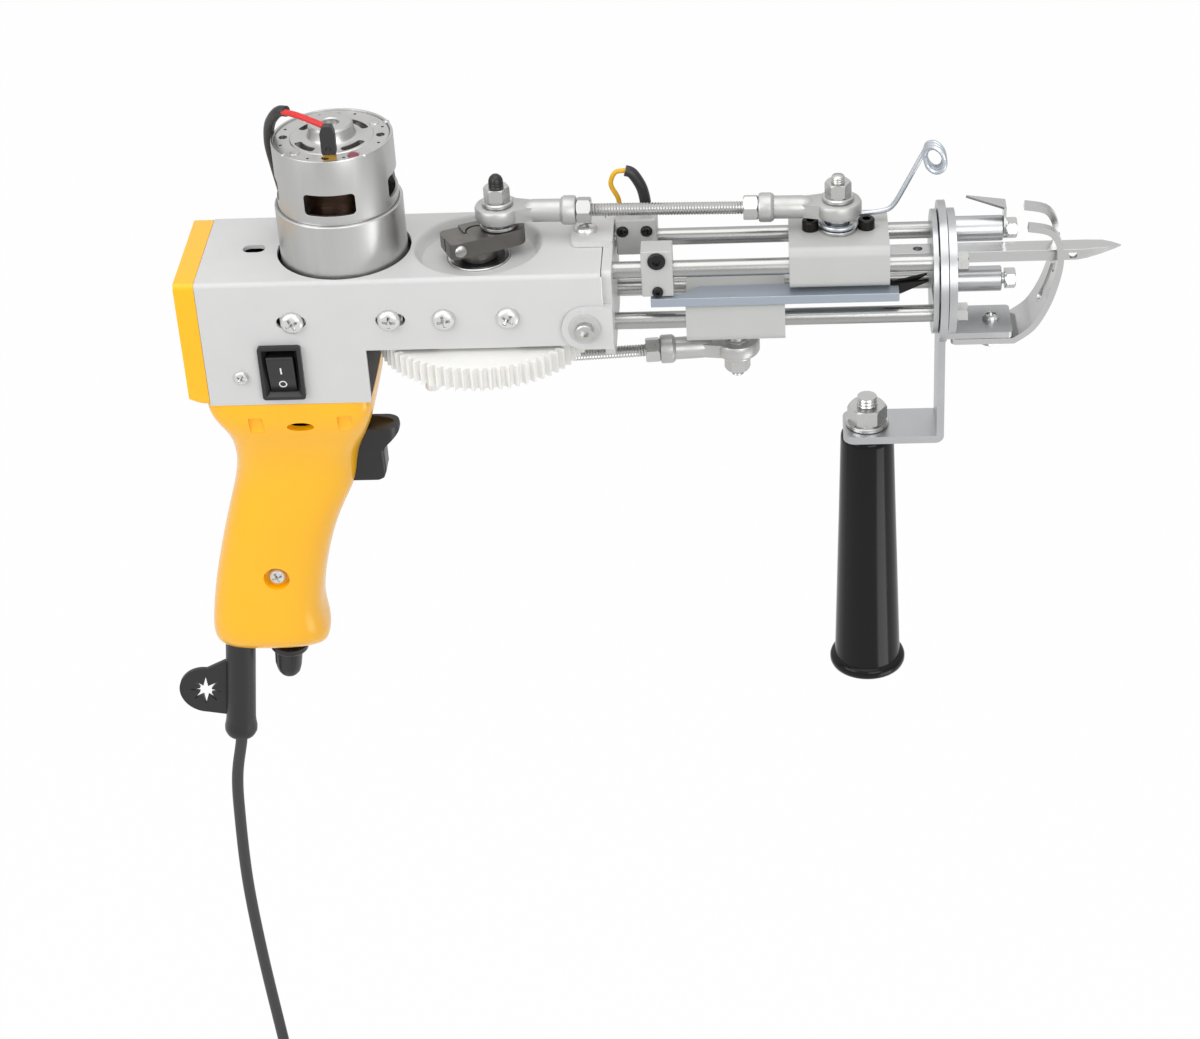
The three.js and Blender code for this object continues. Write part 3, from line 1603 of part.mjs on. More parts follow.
function bladeShape() {
  const low = bladePivotZ - blade.rootHeight / 2;
  return outline([
    [bladePivotX - blade.rootHeight / 2, low],
    [bladePivotX + blade.rootHeight, low],
    [bladePivotX + blade.length, low + blade.rise],
    [bladePivotX, low + blade.rootHeight],
    [bladePivotX - blade.rootHeight / 2, low + blade.rootHeight * 0.8],
  ]);
}

function makeCutter() {
  const { rear, step, stepRun, front, nearY, narrow, wide, thickness } = push;
  const plan = outline([
    [rear, nearY],
    [front, nearY],
    [front, bladeFace],
    [bladePivotX - blade.rootHeight, bladeFace],
    [bladePivotX - blade.rootHeight - bite, nearY + wide],
    [step + stepRun, nearY + wide],
    [step, nearY + narrow],
    [rear, nearY + narrow],
  ]);
  const barSolid = drawnOut("z", plan, [pushBottom, pushBottom + thickness]);
  const fixedBlade = drawnOut("y", bladeShape(), [bladeFace - bite, bladeFace + blade.thickness]);
  const swingFace = bladeFace + blade.thickness + blade.gap;
  const pin = bar(
    "y",
    [bladeFace, swingFace + blade.thickness + blade.gap],
    blade.pivotRadius,
    [bladePivotX, 0, bladePivotZ],
    smallSteps,
  );
  addPiece("push_bar", join(barSolid, fixedBlade, pin), zinc);
  const swinging = cut(
    drawnOut("y", bladeShape(), [swingFace, swingFace + blade.thickness]),
    bar("y", [swingFace - overrun, swingFace + overrun], blade.pivotRadius + seat, [
      bladePivotX,
      0,
      bladePivotZ,
    ], smallSteps),
  );
  const open = new THREE.Matrix4()
    .makeTranslation(bladePivotX, 0, bladePivotZ)
    .multiply(new THREE.Matrix4().makeRotationY(-radians(blade.openAngle)))
    .multiply(new THREE.Matrix4().makeTranslation(-bladePivotX, 0, -bladePivotZ));
  addPiece("swinging_blade", moved(swinging, open), blackSteel);
}

// Nose bracket, guide rods and the blocks clamped on them

function makeFlange() {
  const across = roundedBox2d([-flange.halfWidth, flange.halfWidth], [-flange.bottom, -seat], flange.corner);
  const plate = drawnOut("x", across, [flange.rear, flange.front]);
  const topTab = box(
    [flange.topTabRear, flange.front],
    [flange.topTabNear, flange.topTabFar],
    [seat, flange.top],
  );
  const riser = box(
    [flange.rear, flange.front],
    [flange.topTabNear, flange.topTabFar],
    [-flange.corner, flange.top],
  );
  const sideFace = halfBody + seat;
  const sideMiddle = (flange.sideTabTop + flange.sideTabBottom) / 2;
  const sideHalf = (flange.sideTabBottom - flange.sideTabTop) / 2;
  const sideTab = (sign) => {
    const span = [sign * sideFace, sign * (sideFace + flange.tabThickness)].sort((a, b) => a - b);
    const wing = [sign * (flange.halfWidth - flange.corner), span[sign > 0 ? 1 : 0]].sort((a, b) => a - b);
    return join(
      box([flange.sideScrewX, flange.front], span, [-flange.sideTabBottom, -flange.sideTabTop]),
      bar("y", span, sideHalf, [flange.sideScrewX, 0, -sideMiddle]),
      box([flange.rear, flange.front], wing, [-flange.sideTabBottom, -flange.sideTabTop]),
    );
  };
  const topScrew = cut(
    bar("z", [flange.top - bite, flange.top + panScrew.height], panScrew.head, [
      flange.topScrewX,
      flange.topScrewY,
      0,
    ]),
    box(
      [flange.topScrewX - panScrew.head, flange.topScrewX + panScrew.head],
      [flange.topScrewY - panScrew.slot / 2, flange.topScrewY + panScrew.slot / 2],
      [flange.top + panScrew.height - panScrew.slotDepth, flange.top + panScrew.height + overrun],
    ),
  );
  const capFace = sideFace + flange.tabThickness;
  const capAt = [flange.sideScrewX, 0, -flange.sideScrewZ];
  const nearCap = cut(
    bar("y", [-capFace - clampScrew.height, -capFace + bite], clampScrew.radius, capAt),
    hexagon(
      "y",
      [-capFace - clampScrew.height - overrun, -capFace - clampScrew.socketDepth],
      clampScrew.socket * 2,
      capAt,
    ),
  );
  const topShank = [-body.wall - bite, flange.top];
  const shanks = join(
    bar("z", topShank, panScrew.shank, [flange.topScrewX, flange.topScrewY, 0], hiddenSteps),
    bar("y", [-capFace, -halfBody + body.wall + bite], panScrew.shank, capAt, hiddenSteps),
    bar("y", [halfBody - body.wall - bite, capFace], panScrew.shank, capAt, hiddenSteps),
  );
  const holes = rodPlaces.map(([y, z]) =>
    rodHole([flange.rear - overrun, flange.front + overrun], y, z),
  );
  const screws = [topScrew, nearCap, mirroredY(nearCap), shanks];
  const bracketSolid = join(plate, topTab, riser, sideTab(-1), sideTab(1), ...screws);
  addPiece("nose_bracket", cut(bracketSolid, ...holes), paint);
}

// Hole that grips a guide rod: its flats clear the rod by the seat gap
function rodHole(span, y, z) {
  return bar("x", span, (rods.radius + seat) / cosine(180 / smallSteps), [0, y, z], smallSteps);
}

const rodPlaces = [
  [-rods.spreadY, rods.upperZ],
  [-rods.spreadY, rods.lowerZ],
  [rods.spreadY, rods.upperZ],
  [rods.spreadY, rods.lowerZ],
];
const rodNames = ["near_upper", "near_lower", "far_upper", "far_lower"];
const hookRoom = hook.thickness + seat * 2;

// Each near rod ends in a hexagon head in front of the discs, each far rod in a spacer and bolt
function makeGuideRods() {
  rodPlaces.forEach(([y, z], i) => {
    const at = [0, y, z];
    const face = discFace + seat;
    const round = bar("x", [rods.rear, rods.front], rods.radius, at);
    const head = hexagon("x", [face, face + rodScrew.length], rodScrew.radius * 2, at);
    const neck = bar("x", [rods.front - bite, face + bite], rods.radius * 0.9, at);
    const spacerEnd = face + spacer.length;
    const boltFace = spacerEnd + hookRoom;
    const tube = bar("x", [face, spacerEnd], spacer.radius, at);
    const shank = bar("x", [spacerEnd - bite, boltFace + bite], spacer.shank, at, smallSteps);
    const bolt = hexagon("x", [boltFace, boltFace + spacer.boltLength], spacer.boltFlats, at);
    const ends = y > 0 ? [tube, shank, bolt] : [head];
    addPiece("guide_rod_" + rodNames[i], join(round, neck, ...ends), chrome);
  });
}

// Yarn hook: a thin plate under the upper spacer's bolt, bent back over it to a point
function makeHook() {
  const start = discFace + seat + spacer.length + seat;
  const end = start + hook.thickness;
  const y = rods.spreadY;
  const half = hook.width / 2;
  const plate = cut(
    box([start, end], [y - half, y + half], [hook.plateZ, hook.topZ]),
    bar("x", [start - overrun, end + overrun], spacer.shank + seat, [0, y, rods.upperZ]),
  );
  const back = outline([
    [end, y - half],
    [hook.backX, y + half * 0.8],
    [end, y + half],
  ]);
  const rise = Math.atan2(hook.tipZ - hook.topZ, end - hook.backX);
  const leaf = moved(
    drawnOut("z", back, [-hook.thickness, 0]),
    new THREE.Matrix4()
      .makeTranslation(end, 0, hook.topZ)
      .multiply(new THREE.Matrix4().makeRotationY(rise))
      .multiply(new THREE.Matrix4().makeTranslation(-end, 0, 0)),
  );
  addPiece("yarn_hook", join(plate, leaf), platedSteel);
}

function makeRodBlocks() {
  const { rear, front, near, far, top, bottom } = rodClamp;
  const middle = (rear + front) / 2;
  const clampBlock = cut(
    box([rear, front], [near, far], [bottom, top]),
    rodHole([rear - overrun, front + overrun], -rods.spreadY, rods.upperZ),
  );
  const boss = (radius, z) =>
    cut(
      bar("y", [near - clampScrew.height / 3, near + bite], radius, [middle, 0, z]),
      hexagon("y", [near - overrun, near - clampScrew.height / 8], radius, [middle, 0, z]),
    );
  const clampSolid = join(
    clampBlock,
    boss(rodClamp.bigScrew, rodClamp.bigScrewZ),
    boss(rodClamp.smallScrew, rodClamp.smallScrewZ),
  );
  addPiece("rod_clamp", clampSolid, paint);
  const stop = cut(
    box(
      [stopBlock.rear, stopBlock.front],
      [stopBlock.near, stopBlock.far],
      [stopBlock.bottom, stopBlock.top],
    ),
    rodHole([stopBlock.rear - overrun, stopBlock.front + overrun], rods.spreadY, rods.upperZ),
  );
  const heads = [stopBlock.screwRearX, stopBlock.screwFrontX].map((x) =>
    bar("y", [stopBlock.near - clampScrew.height / 3, stopBlock.near + bite], stopBlock.screwRadius, [
      x,
      0,
      stopBlock.screwZ,
    ], smallSteps),
  );
  addPiece("stop_switch_block", join(stop, ...heads), paint);
}

// Wire loop of the stop switch: a bare yellow run into a black sleeve
function makeSwitchWire() {
  const { wire: thin, sleeve, y } = loop;
  const foot = stopBlock.top + seat;
  const span = stopBlock.front - stopBlock.rear;
  const at = (share) => stopBlock.rear + span * share;
  const yellow = wire(
    [
      [at(0.1), y, foot],
      [at(0.08), y, foot + span * 0.34],
      [at(-0.08), y, foot + span * 0.72],
      [at(0.02), y, foot + span * 1.02],
      [at(0.22), y, foot + span * 1.08],
      [at(0.36), y, foot + span * 1.07],
    ],
    thin,
    smallSteps + cornerSteps,
  );
  const black = wire(
    [
      [at(0.28), y, foot + span * 1.08],
      [at(0.45), y, foot + span * 1],
      [at(0.64), y, foot + span * 0.66],
      [at(0.72), y, foot + span * 0.32],
      [at(0.74), y, foot],
    ],
    sleeve,
    smallSteps,
  );
  addPiece("switch_wire", join(yellow, black), yellowWire);
}

// Front discs

function discCuts([from, to]) {
  const span = [from - overrun, to + overrun];
  const gap = running * 2;
  return [
    ...rodPlaces.map(([y, z]) => rodHole(span, y, z)),
    box(span, [-needle.width / 2 - gap, needle.width / 2 + gap], [needle.bottom - gap, needle.top + gap]),
    box(span, [discs.slotNear, discs.slotFar], [discs.slotBottom, discs.slotShelf]),
    box(span, [bladeFace - bite - running, discs.slotFar], [discs.slotBottom, discs.slotTop]),
  ];
}

function makeDiscs() {
  const disc = (x, thickness, radius) =>
    bar("x", [x, x + thickness], radius, [0, 0, discs.centreZ], fineSteps);
  const rear = disc(discs.rearX, discs.rearThickness, discs.rearRadius);
  const rearSpan = [discs.rearX, discs.rearX + discs.rearThickness];
  addPiece("rear_disc", cut(rear, ...discCuts(rearSpan)), chrome);

  const half = bracket.width / 2;
  const x0 = middleDiscX;
  const x1 = middleDiscX + discs.middleThickness;
  const thickness = discs.middleThickness;
  const footBottom = bracket.footTop - thickness;
  const side = new THREE.Shape();
  side.moveTo(x0, discs.centreZ);
  side.lineTo(x0, bracket.footTop);
  side.lineTo(bracket.footRear, bracket.footTop);
  side.lineTo(bracket.footRear, footBottom);
  side.lineTo(x1 - bracket.bend, footBottom);
  side.absarc(x1 - bracket.bend, footBottom + bracket.bend, bracket.bend, -Math.PI / 2, 0, false);
  side.lineTo(x1, discs.centreZ);
  const strip = drawnOut("y", side, [-half, half]);
  const footPlan = roundedBox2d(
    [bracket.footRear, x1 + bracket.cornerRadius * 2],
    [-half, half],
    bracket.cornerRadius,
  );
  const trimmed = strip.intersect(drawnOut("z", footPlan, [footBottom - overrun, overrun]));
  const boltHole = bar("z", [footBottom - overrun, bracket.footTop + overrun], handle.boltRadius + seat, [
    handle.x,
    0,
    0,
  ]);
  const middle = join(disc(x0, thickness, discs.middleRadius), trimmed);
  addPiece("handle_bracket", cut(middle, ...discCuts([x0, x1]), boltHole), chrome);

  const frontSpan = [frontDiscX, discFace];
  const tabBottom = tab.top - tab.thickness;
  const tongue = join(
    box([frontDiscX, tab.front], [-tab.halfWidth, tab.halfWidth], [tabBottom, tab.top]),
    box(frontSpan, [-tab.halfWidth, tab.halfWidth], [tabBottom, discs.centreZ]),
  );
  const screwZ = tabBottom - seat * 2 - foot.thickness;
  const screw = join(
    bar("z", [tab.top - bite, tab.top + panScrew.height * 0.9], foot.screwRadius, [tab.screwX, 0, 0]),
    bar("z", [screwZ - stud.nutHeight - seat, tab.top], panScrew.shank, [tab.screwX, 0, 0], smallSteps),
    hexagon("z", [screwZ - stud.nutHeight * 0.8 - seat, screwZ - seat], stud.nutFlats, [tab.screwX, 0, 0]),
  );
  const front = disc(frontDiscX, discs.frontThickness, discs.frontRadius);
  addPiece("front_disc", cut(join(front, tongue, screw), ...discCuts(frontSpan)), chrome);
}

// Presser foot: a strap that lies under the front disc's tongue and curls up into two prongs
function makePresserFoot() {
  const top = tab.top - tab.thickness - seat;
  const run = top - foot.thickness / 2;
  const tall = needle.top - run;
  const reach = needle.shoulder - tab.front;
  const route = new THREE.CatmullRomCurve3(
    [
      [tab.front + reach * 0.02, run],
      [tab.front + reach * 0.4, run + tall * 0.15],
      [tab.front + reach * 0.68, run + tall * 0.4],
      [tab.front + reach * 0.86, run + tall * 0.68],
      [tab.front + reach * 0.95, run + tall * 0.95],
      [tab.front + reach * 0.9, run + tall * 1.17],
      [tab.front + reach * 0.7, run + tall * 1.31],
      [tab.front + reach * 0.26, run + tall * 1.36],
    ].map(([x, z]) => new THREE.Vector3(x, 0, z)),
  );
  const points = route.getPoints(roundSteps);
  const half = foot.thickness / 2;
  const outside = [];
  const inside = [];
  points.forEach((point, i) => {
    const tangent = route.getTangent(i / roundSteps);
    outside.push([point.x + tangent.z * half, point.z - tangent.x * half]);
    inside.push([point.x - tangent.z * half, point.z + tangent.x * half]);
  });
  const strap = drawnOut("y", outline([...outside, ...inside.reverse()]), [-foot.halfWidth, foot.halfWidth]);
  const base = box(
    [foot.rear, tab.front + reach * 0.05],
    [-foot.halfWidth, foot.halfWidth],
    [top - foot.thickness, top],
  );
  const slotSpan = [top - foot.thickness - overrun, top + overrun];
  const slotMiddle = (foot.slotRear + foot.slotFront) / 2;
  const slotLength = foot.slotFront - foot.slotRear;
  const across = [tab.front + half, needle.tip];
  const solid = cut(
    join(base, strap),
    drawnOut("z", slot2d(slotMiddle, 0, slotLength, foot.slotWidth), slotSpan),
    box(across, [-foot.windowHalf, foot.windowHalf], [foot.windowBottom, foot.forkBottom + overrun]),
    box([tab.front - reach, needle.tip], [-foot.forkHalf, foot.forkHalf], [foot.forkBottom, needle.tip]),
  );
  addPiece("presser_foot", solid, chrome);
}

// Front handle and its bolt

function makeHandle() {
  const { x, top, bottom, topRadius, lowRadius, flangeRadius, flangeHeight, edge } = handle;
  const gripSolid = turned(
    [
      [handle.boltRadius + seat, top],
      [topRadius - edge / 2, top],
      [topRadius, top - edge / 2],
      [lowRadius, bottom + flangeHeight],
      [flangeRadius - edge / 2, bottom + flangeHeight],
      [flangeRadius, bottom + flangeHeight - edge],
      [flangeRadius, bottom + edge],
      [flangeRadius - edge, bottom],
      [0, bottom],
      [0, (top + bottom) / 2],
      [handle.boltRadius + seat, (top + bottom) / 2],
    ],
    [x, 0],
    fineSteps - cornerSteps * 2,
  );
  addPiece("front_handle", gripSolid, glossBlack);
  const washerBottom = bracket.footTop + seat;
  const nutBottom = washerBottom + handle.washerHeight;
  const bolt = join(
    bar("z", [(top + bottom) / 2 + overrun, handle.boltTop], handle.boltRadius, [x, 0, 0]),
    bar("z", [washerBottom, nutBottom], handle.washerRadius, [x, 0, 0]),
    hexagon("z", [nutBottom - bite, nutBottom + handle.nutHeight], handle.nutFlats, [x, 0, 0]),
  );
  addPiece("handle_bolt", bolt, platedSteel);
}

// Mains cord

function makeCord() {
  const end = new THREE.Vector3(0, 0, -relief.length - seat * 2).applyMatrix4(leanAt(reliefX, gripBottom));
  const nextOut = new THREE.Vector3(0, 0, -relief.length - seat * 2 - cord.radius * 2).applyMatrix4(
    leanAt(reliefX, gripBottom),
  );
  const startX = cord.coilX - cord.coilRadius;
  const straight = cord.radius * 2;
  const free = wire(
    [
      [end.x, 0, end.z],
      [nextOut.x, 0, nextOut.z],
      ...cordPoints.map(([x, z]) => [x, 0, z]),
      [startX, 0, cord.coilZ + straight * 2],
      [startX, 0, cord.coilZ + straight + seat * 2],
    ],
    cord.radius,
    cordSteps,
    cordSides,
  );
  addPiece("cord_free", free, cordRubber);
  addPiece("cord_coil", coilSolid(straight), cordRubber);
  makeBand();
  makePlug();
}

// Centre of the coil's tube after a number of turns: in on the near layer, out on the far one
function coilPoint(turns) {
  const inward = Math.min(turns, coilTurnsIn);
  const outward = Math.max(0, turns - coilTurnsIn - coilTurnsUp);
  const rising = Math.min(Math.max((turns - coilTurnsIn) / coilTurnsUp, 0), 1);
  const lift = THREE.MathUtils.smoothstep(rising, 0, 1) * cord.coilPitch;
  const dip = climbDipShare * cord.coilPitch * Math.sin(rising * Math.PI);
  const radius = cord.coilRadius + cord.coilPitch * (outward - inward) - dip;
  const angle = Math.PI + turns * Math.PI * 2;
  return new THREE.Vector3(
    cord.coilX + radius * Math.cos(angle),
    lift,
    cord.coilZ + radius * Math.sin(angle),
  );
}

function coilLine(straight) {
  const turns = coilTurnsIn + coilTurnsUp + coilTurnsOut;
  const count = Math.round(turns * coilSteps);
  const line = [];
  for (let i = 0; i <= count; i++) line.push(coilPoint((i / count) * turns));
  const first = line[0].clone().add(new THREE.Vector3(0, 0, straight));
  const last = line[line.length - 1].clone().add(new THREE.Vector3(0, 0, -cord.tail));
  return [first, ...line, last];
}

// One unbroken tube: rings of points square to the line, joined ring to ring and closed at the ends
function coilSolid(straight) {
  const line = coilLine(straight);
  const rings = line.map((point, i) => {
    const before = line[Math.max(i - 1, 0)];
    const after = line[Math.min(i + 1, line.length - 1)];
    const along = after.clone().sub(before).normalize();
    const sideways = new THREE.Vector3(0, 1, 0);
    sideways.addScaledVector(along, -sideways.dot(along)).normalize();
    const outward = new THREE.Vector3().crossVectors(sideways, along);
    const ring = [];
    for (let k = 0; k < coilSides; k++) {
      const angle = (k / coilSides) * Math.PI * 2;
      const spot = point.clone();
      spot.addScaledVector(outward, cord.radius * Math.cos(angle));
      spot.addScaledVector(sideways, cord.radius * Math.sin(angle));
      ring.push([spot.x, spot.y, spot.z]);
    }
    return ring;
  });
  console.log("least gap of the coil to itself, mm:", leastGap(line).toFixed(2));
  const tube = lofted(rings);
  return tube.volume() < 0 ? lofted(rings.map((ring) => [...ring].reverse())) : tube;
}

// Least distance between stretches of the line that are over half a turn apart, less the diameter
function leastGap(line) {
  let least = Infinity;
  for (let i = 0; i < line.length; i++) {
    for (let j = i + coilSteps / 2; j < line.length; j++) {
      least = Math.min(least, line[i].distanceTo(line[j]));
    }
  }
  return least - cord.radius * 2;
}

// Band that ties the coil, closed round the bundle on its right-hand side
function makeBand() {
  const outermost = cord.coilRadius + cord.radius + band.gap;
  const hollow = cord.coilRadius - cord.coilPitch * (coilTurnsIn + climbDipShare) - cord.radius;
  const innermost = Math.sqrt(hollow ** 2 - (band.height / 2) ** 2) - band.gap;
  const near = -cord.radius - band.gap;
  const far = cord.coilPitch + cord.radius + band.gap;
  const outer = roundedBox2d(
    [cord.coilX + innermost - band.thickness, cord.coilX + outermost + band.thickness],
    [near - band.thickness, far + band.thickness],
    band.thickness,
  );
  const innerX = [cord.coilX + innermost, cord.coilX + outermost];
  const inner = roundedBox2d(innerX, [near, far], band.thickness / 2);
  const span = [cord.coilZ - band.height / 2, cord.coilZ + band.height / 2];
  const through = [span[0] - overrun, span[1] + overrun];
  addPiece("cord_tie", cut(drawnOut("z", outer, span), drawnOut("z", inner, through)), blackPlastic);
}

// Flat two-pin plug, hanging from the coil's tail
function makePlug() {
  const tailEnd = coilPoint(coilTurnsIn + coilTurnsUp + coilTurnsOut);
  const { x, y } = tailEnd;
  const top = tailEnd.z - cord.tail - seat * 2;
  const neck = [top - plug.grommetLength, top];
  const grommet = bar("z", neck, plug.grommet, [x, y, 0], roundSteps, plug.grommet * 0.8);
  const bodyTop = top - plug.grommetLength + bite;
  const bodyBottom = bodyTop - plug.length;
  const wide = plug.width / 2;
  const slim = plug.gripWidth / 2;
  const face = outline([
    [x - slim * 0.8, bodyTop],
    [x - slim, bodyTop - plug.shoulder],
    [x - wide, bodyBottom + plug.shoulder],
    [x - wide, bodyBottom],
    [x + wide, bodyBottom],
    [x + wide, bodyBottom + plug.shoulder],
    [x + slim, bodyTop - plug.shoulder],
    [x + slim * 0.8, bodyTop],
  ]);
  const plan = roundedBox2d([x - wide, x + wide], [y - plug.depth / 2, y + plug.depth / 2], plug.corner);
  const shell = drawnOut("y", face, [y - plug.depth / 2, y + plug.depth / 2]).intersect(
    drawnOut("z", plan, [bodyBottom - overrun, bodyTop + overrun]),
  );
  const pins = [-1, 1].map((sign) =>
    bar("z", [bodyBottom - plug.pinLength, bodyBottom + bite], plug.pinRadius, [
      x + (sign * plug.pinSpread) / 2,
      y,
      0,
    ], smallSteps),
  );
  addPiece("mains_plug", join(grommet, shell, ...pins), blackPlastic);
}

makeBody();
makeRearCover();
makePowerSwitch();
makeGrip();
makeGripScrew();
makeTrigger();
makeRelief();
makeKnob();
makeMotor();
makeMotorMount();
makeLeads();
makeCrankDrive();
makeRods();
makeSliders();
makeNeedle();
makeYarnGuide();
makeCutter();
makeFlange();
makeGuideRods();
makeHook();
makeRodBlocks();
makeSwitchWire();
makeDiscs();
makePresserFoot();
makeHandle();
makeCord();

export default machine;
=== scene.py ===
# %% [markdown]
# # Handheld tufting machine
# The machine punches loops of yarn through a backing cloth. An upright motor turns a nylon gear
# under a folded steel body, and two cranks on that gear's shaft drive the needle and the cutter
# along four chromed guide rods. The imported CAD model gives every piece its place, and this lesson
# builds the looks round it: finer shapes, finishes, light and a camera.

from math import asin, atan2, cos, hypot, pi, radians, sin, tan

import bmesh
import bpy
from mathutils import Matrix, Vector


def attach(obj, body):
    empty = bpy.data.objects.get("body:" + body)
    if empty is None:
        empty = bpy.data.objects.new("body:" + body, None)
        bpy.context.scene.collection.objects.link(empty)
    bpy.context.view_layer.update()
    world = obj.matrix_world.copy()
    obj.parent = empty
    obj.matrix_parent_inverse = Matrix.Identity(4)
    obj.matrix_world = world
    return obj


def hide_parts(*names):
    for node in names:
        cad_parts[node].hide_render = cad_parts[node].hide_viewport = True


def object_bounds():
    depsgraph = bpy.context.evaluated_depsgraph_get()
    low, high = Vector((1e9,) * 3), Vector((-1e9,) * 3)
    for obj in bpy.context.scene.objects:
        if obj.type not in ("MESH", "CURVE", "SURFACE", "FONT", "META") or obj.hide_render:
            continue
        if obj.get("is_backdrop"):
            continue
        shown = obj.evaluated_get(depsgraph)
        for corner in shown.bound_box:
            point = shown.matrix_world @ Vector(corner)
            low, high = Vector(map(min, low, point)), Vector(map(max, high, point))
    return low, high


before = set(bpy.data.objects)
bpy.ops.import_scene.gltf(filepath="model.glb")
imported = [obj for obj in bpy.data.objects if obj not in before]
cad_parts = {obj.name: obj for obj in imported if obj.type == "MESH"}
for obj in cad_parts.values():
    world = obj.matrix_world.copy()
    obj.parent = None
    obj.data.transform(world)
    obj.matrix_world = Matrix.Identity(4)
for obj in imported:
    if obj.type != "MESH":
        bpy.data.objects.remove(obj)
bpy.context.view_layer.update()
scene = bpy.context.scene
scene.view_settings.view_transform = "Standard"

# %% [markdown]
# ## Where things are
# All sizes below are millimetres from the motor's axis at the body's top plate: X towards the
# needle, Y away from the power switch, Z up. That is how the machine is measured on a bench. The
# frame's own origin is the middle of the hand grip, in metres, so one shift and one scale bring
# each finished mesh home.

# %% Units and shared places
MM = 0.001
GRIP_MIDDLE = Vector((-37, 0, -118))
NEAR, AHEAD = (0, -1, 0), (1, 0, 0)


def home(point):
    """A bench point in millimetres as a point of the frame in metres."""
    return (Vector(point) - GRIP_MIDDLE) * MM


def on_circle(radius, angle):
    """The X and Y of a point on a circle round the origin."""
    return radius * cos(angle), radius * sin(angle)


CRANK_X, CRANK_ANGLE = 47, radians(24.4)
UPPER_ROD, LOWER_ROD = 117.9, 109.1
UPPER_PIN = Vector((CRANK_X + 8.3 * cos(CRANK_ANGLE), 8.3 * sin(CRANK_ANGLE), 10.7))
LOWER_PIN = Vector((CRANK_X - 21.4 * cos(CRANK_ANGLE), -21.4 * sin(CRANK_ANGLE), -43.1))
LINKS = (UPPER_PIN, UPPER_ROD), (LOWER_PIN, LOWER_ROD)
UPPER_X, LOWER_X = (pin.x + (rod**2 - pin.y**2) ** 0.5 for pin, rod in LINKS)
ROD_Y, UPPER_Z, LOWER_Z = 11.9, -5.6, -25.6
GRIP_END, LEAN = -168.35, radians(6.7)
print("sliders at", round(UPPER_X, 1), "and", round(LOWER_X, 1), "mm")

# %% [markdown]
# ## Camera
# The camera stands 1.06 m from the machine, a little to the right and 33 degrees above it, with a
# short telephoto lens. It is rolled by 3.6 degrees, because the machine leans in its picture. The
# three axes of its matrix are worked out from those angles.

# %% Camera
azimuth, elevation, roll = radians(4.408), radians(33.508), radians(-3.602)
AIM, DISTANCE, LENS = (83.577, 0, -116.668), 1.056794, 85.5045
back = Vector((sin(azimuth) * cos(elevation), -cos(azimuth) * cos(elevation), sin(elevation)))
level = (-back).cross(Vector((0, 0, 1))).normalized()
upright = level.cross(-back)
right = level * cos(roll) + upright * sin(roll)
top = upright * cos(roll) - level * sin(roll)
camera = bpy.data.objects.new("camera", bpy.data.cameras.new("camera"))
camera.data.lens, camera.data.sensor_width = LENS, 36
camera.data.clip_start, camera.data.clip_end = 0.05, 20
place = Matrix((right, top, back)).transposed().to_4x4()
place.translation = home(AIM) + back * DISTANCE
camera.matrix_world = place
scene.collection.objects.link(camera)
scene.camera = camera
print("camera at", [round(v, 3) for v in camera.location])

# %% [markdown]
# ## Making shapes
# Most pieces here are turned, sawn, folded or cast, so a few shapes cover them: a turned profile,
# a prism drawn out of an outline, a round bar and a bent wire. Each comes from bmesh operators in
# bench millimetres. Openings are cut with the Boolean modifier, as a drill or a punch would.

# %% Places and outlines
def shift(x, y, z):
    return Matrix.Translation((x, y, z))


def turned(angle, axis="Z"):
    return Matrix.Rotation(angle, 4, axis)


def rect(u0, u1, v0, v1):
    """The corners of a rectangle, in the order in which rounding counts them."""
    return [(u0, v0), (u1, v0), (u1, v1), (u0, v1)]


def smooth_line(points, steps=6):
    """Points along a smooth curve that passes through the given ones."""
    points = [Vector(p) for p in points]
    found = []
    for i in range(len(points) - 1):
        before, start, end, after = (points[min(max(i + k, 0), len(points) - 1)] for k in (-1, 0, 1, 2))
        for t in (step / steps for step in range(steps)):
            bend = start * (2 * t**3 - 3 * t**2 + 1) + (end - before) * 0.5 * (t**3 - 2 * t**2 + t)
            found.append(bend + end * (3 * t**2 - 2 * t**3) + (after - start) * 0.5 * (t**3 - t**2))
    return found + [points[-1]]


# %% Turned and drawn shapes
TURN = {"x": turned(pi / 2, "Y"), "y": turned(-pi / 2, "X"), "z": Matrix.Identity(4)}
TOUCHING = 0.0001
DRAWN_ALONG = {"x": ((0, 1, 0), (0, 0, 1), (1, 0, 0)), "y": ((1, 0, 0), (0, 0, 1), (0, -1, 0)),
               "z": ((1, 0, 0), (0, 1, 0), (0, 0, 1))}


def spun(profile, at=(0, 0, 0), axis="z", steps=64):
    """A solid turned round an axis through a point, from (radius, height) corners."""
    bm = bmesh.new()
    ring = [bm.verts.new((radius, 0, height)) for radius, height in profile]
    for a, b in zip(ring, ring[1:]):
        bm.edges.new((a, b))
    if profile[0][0] and profile[-1][0]:
        bm.edges.new((ring[-1], ring[0]))
    bmesh.ops.spin(bm, geom=bm.verts[:] + bm.edges[:], axis=(0, 0, 1), cent=(0, 0, 0), angle=2 * pi,
                   steps=steps, use_merge=True, use_duplicate=False)
    bmesh.ops.remove_doubles(bm, verts=bm.verts, dist=TOUCHING)
    bmesh.ops.recalc_face_normals(bm, faces=bm.faces)
    bmesh.ops.transform(bm, matrix=Matrix.Translation(at) @ TURN[axis], verts=bm.verts)
    return bm


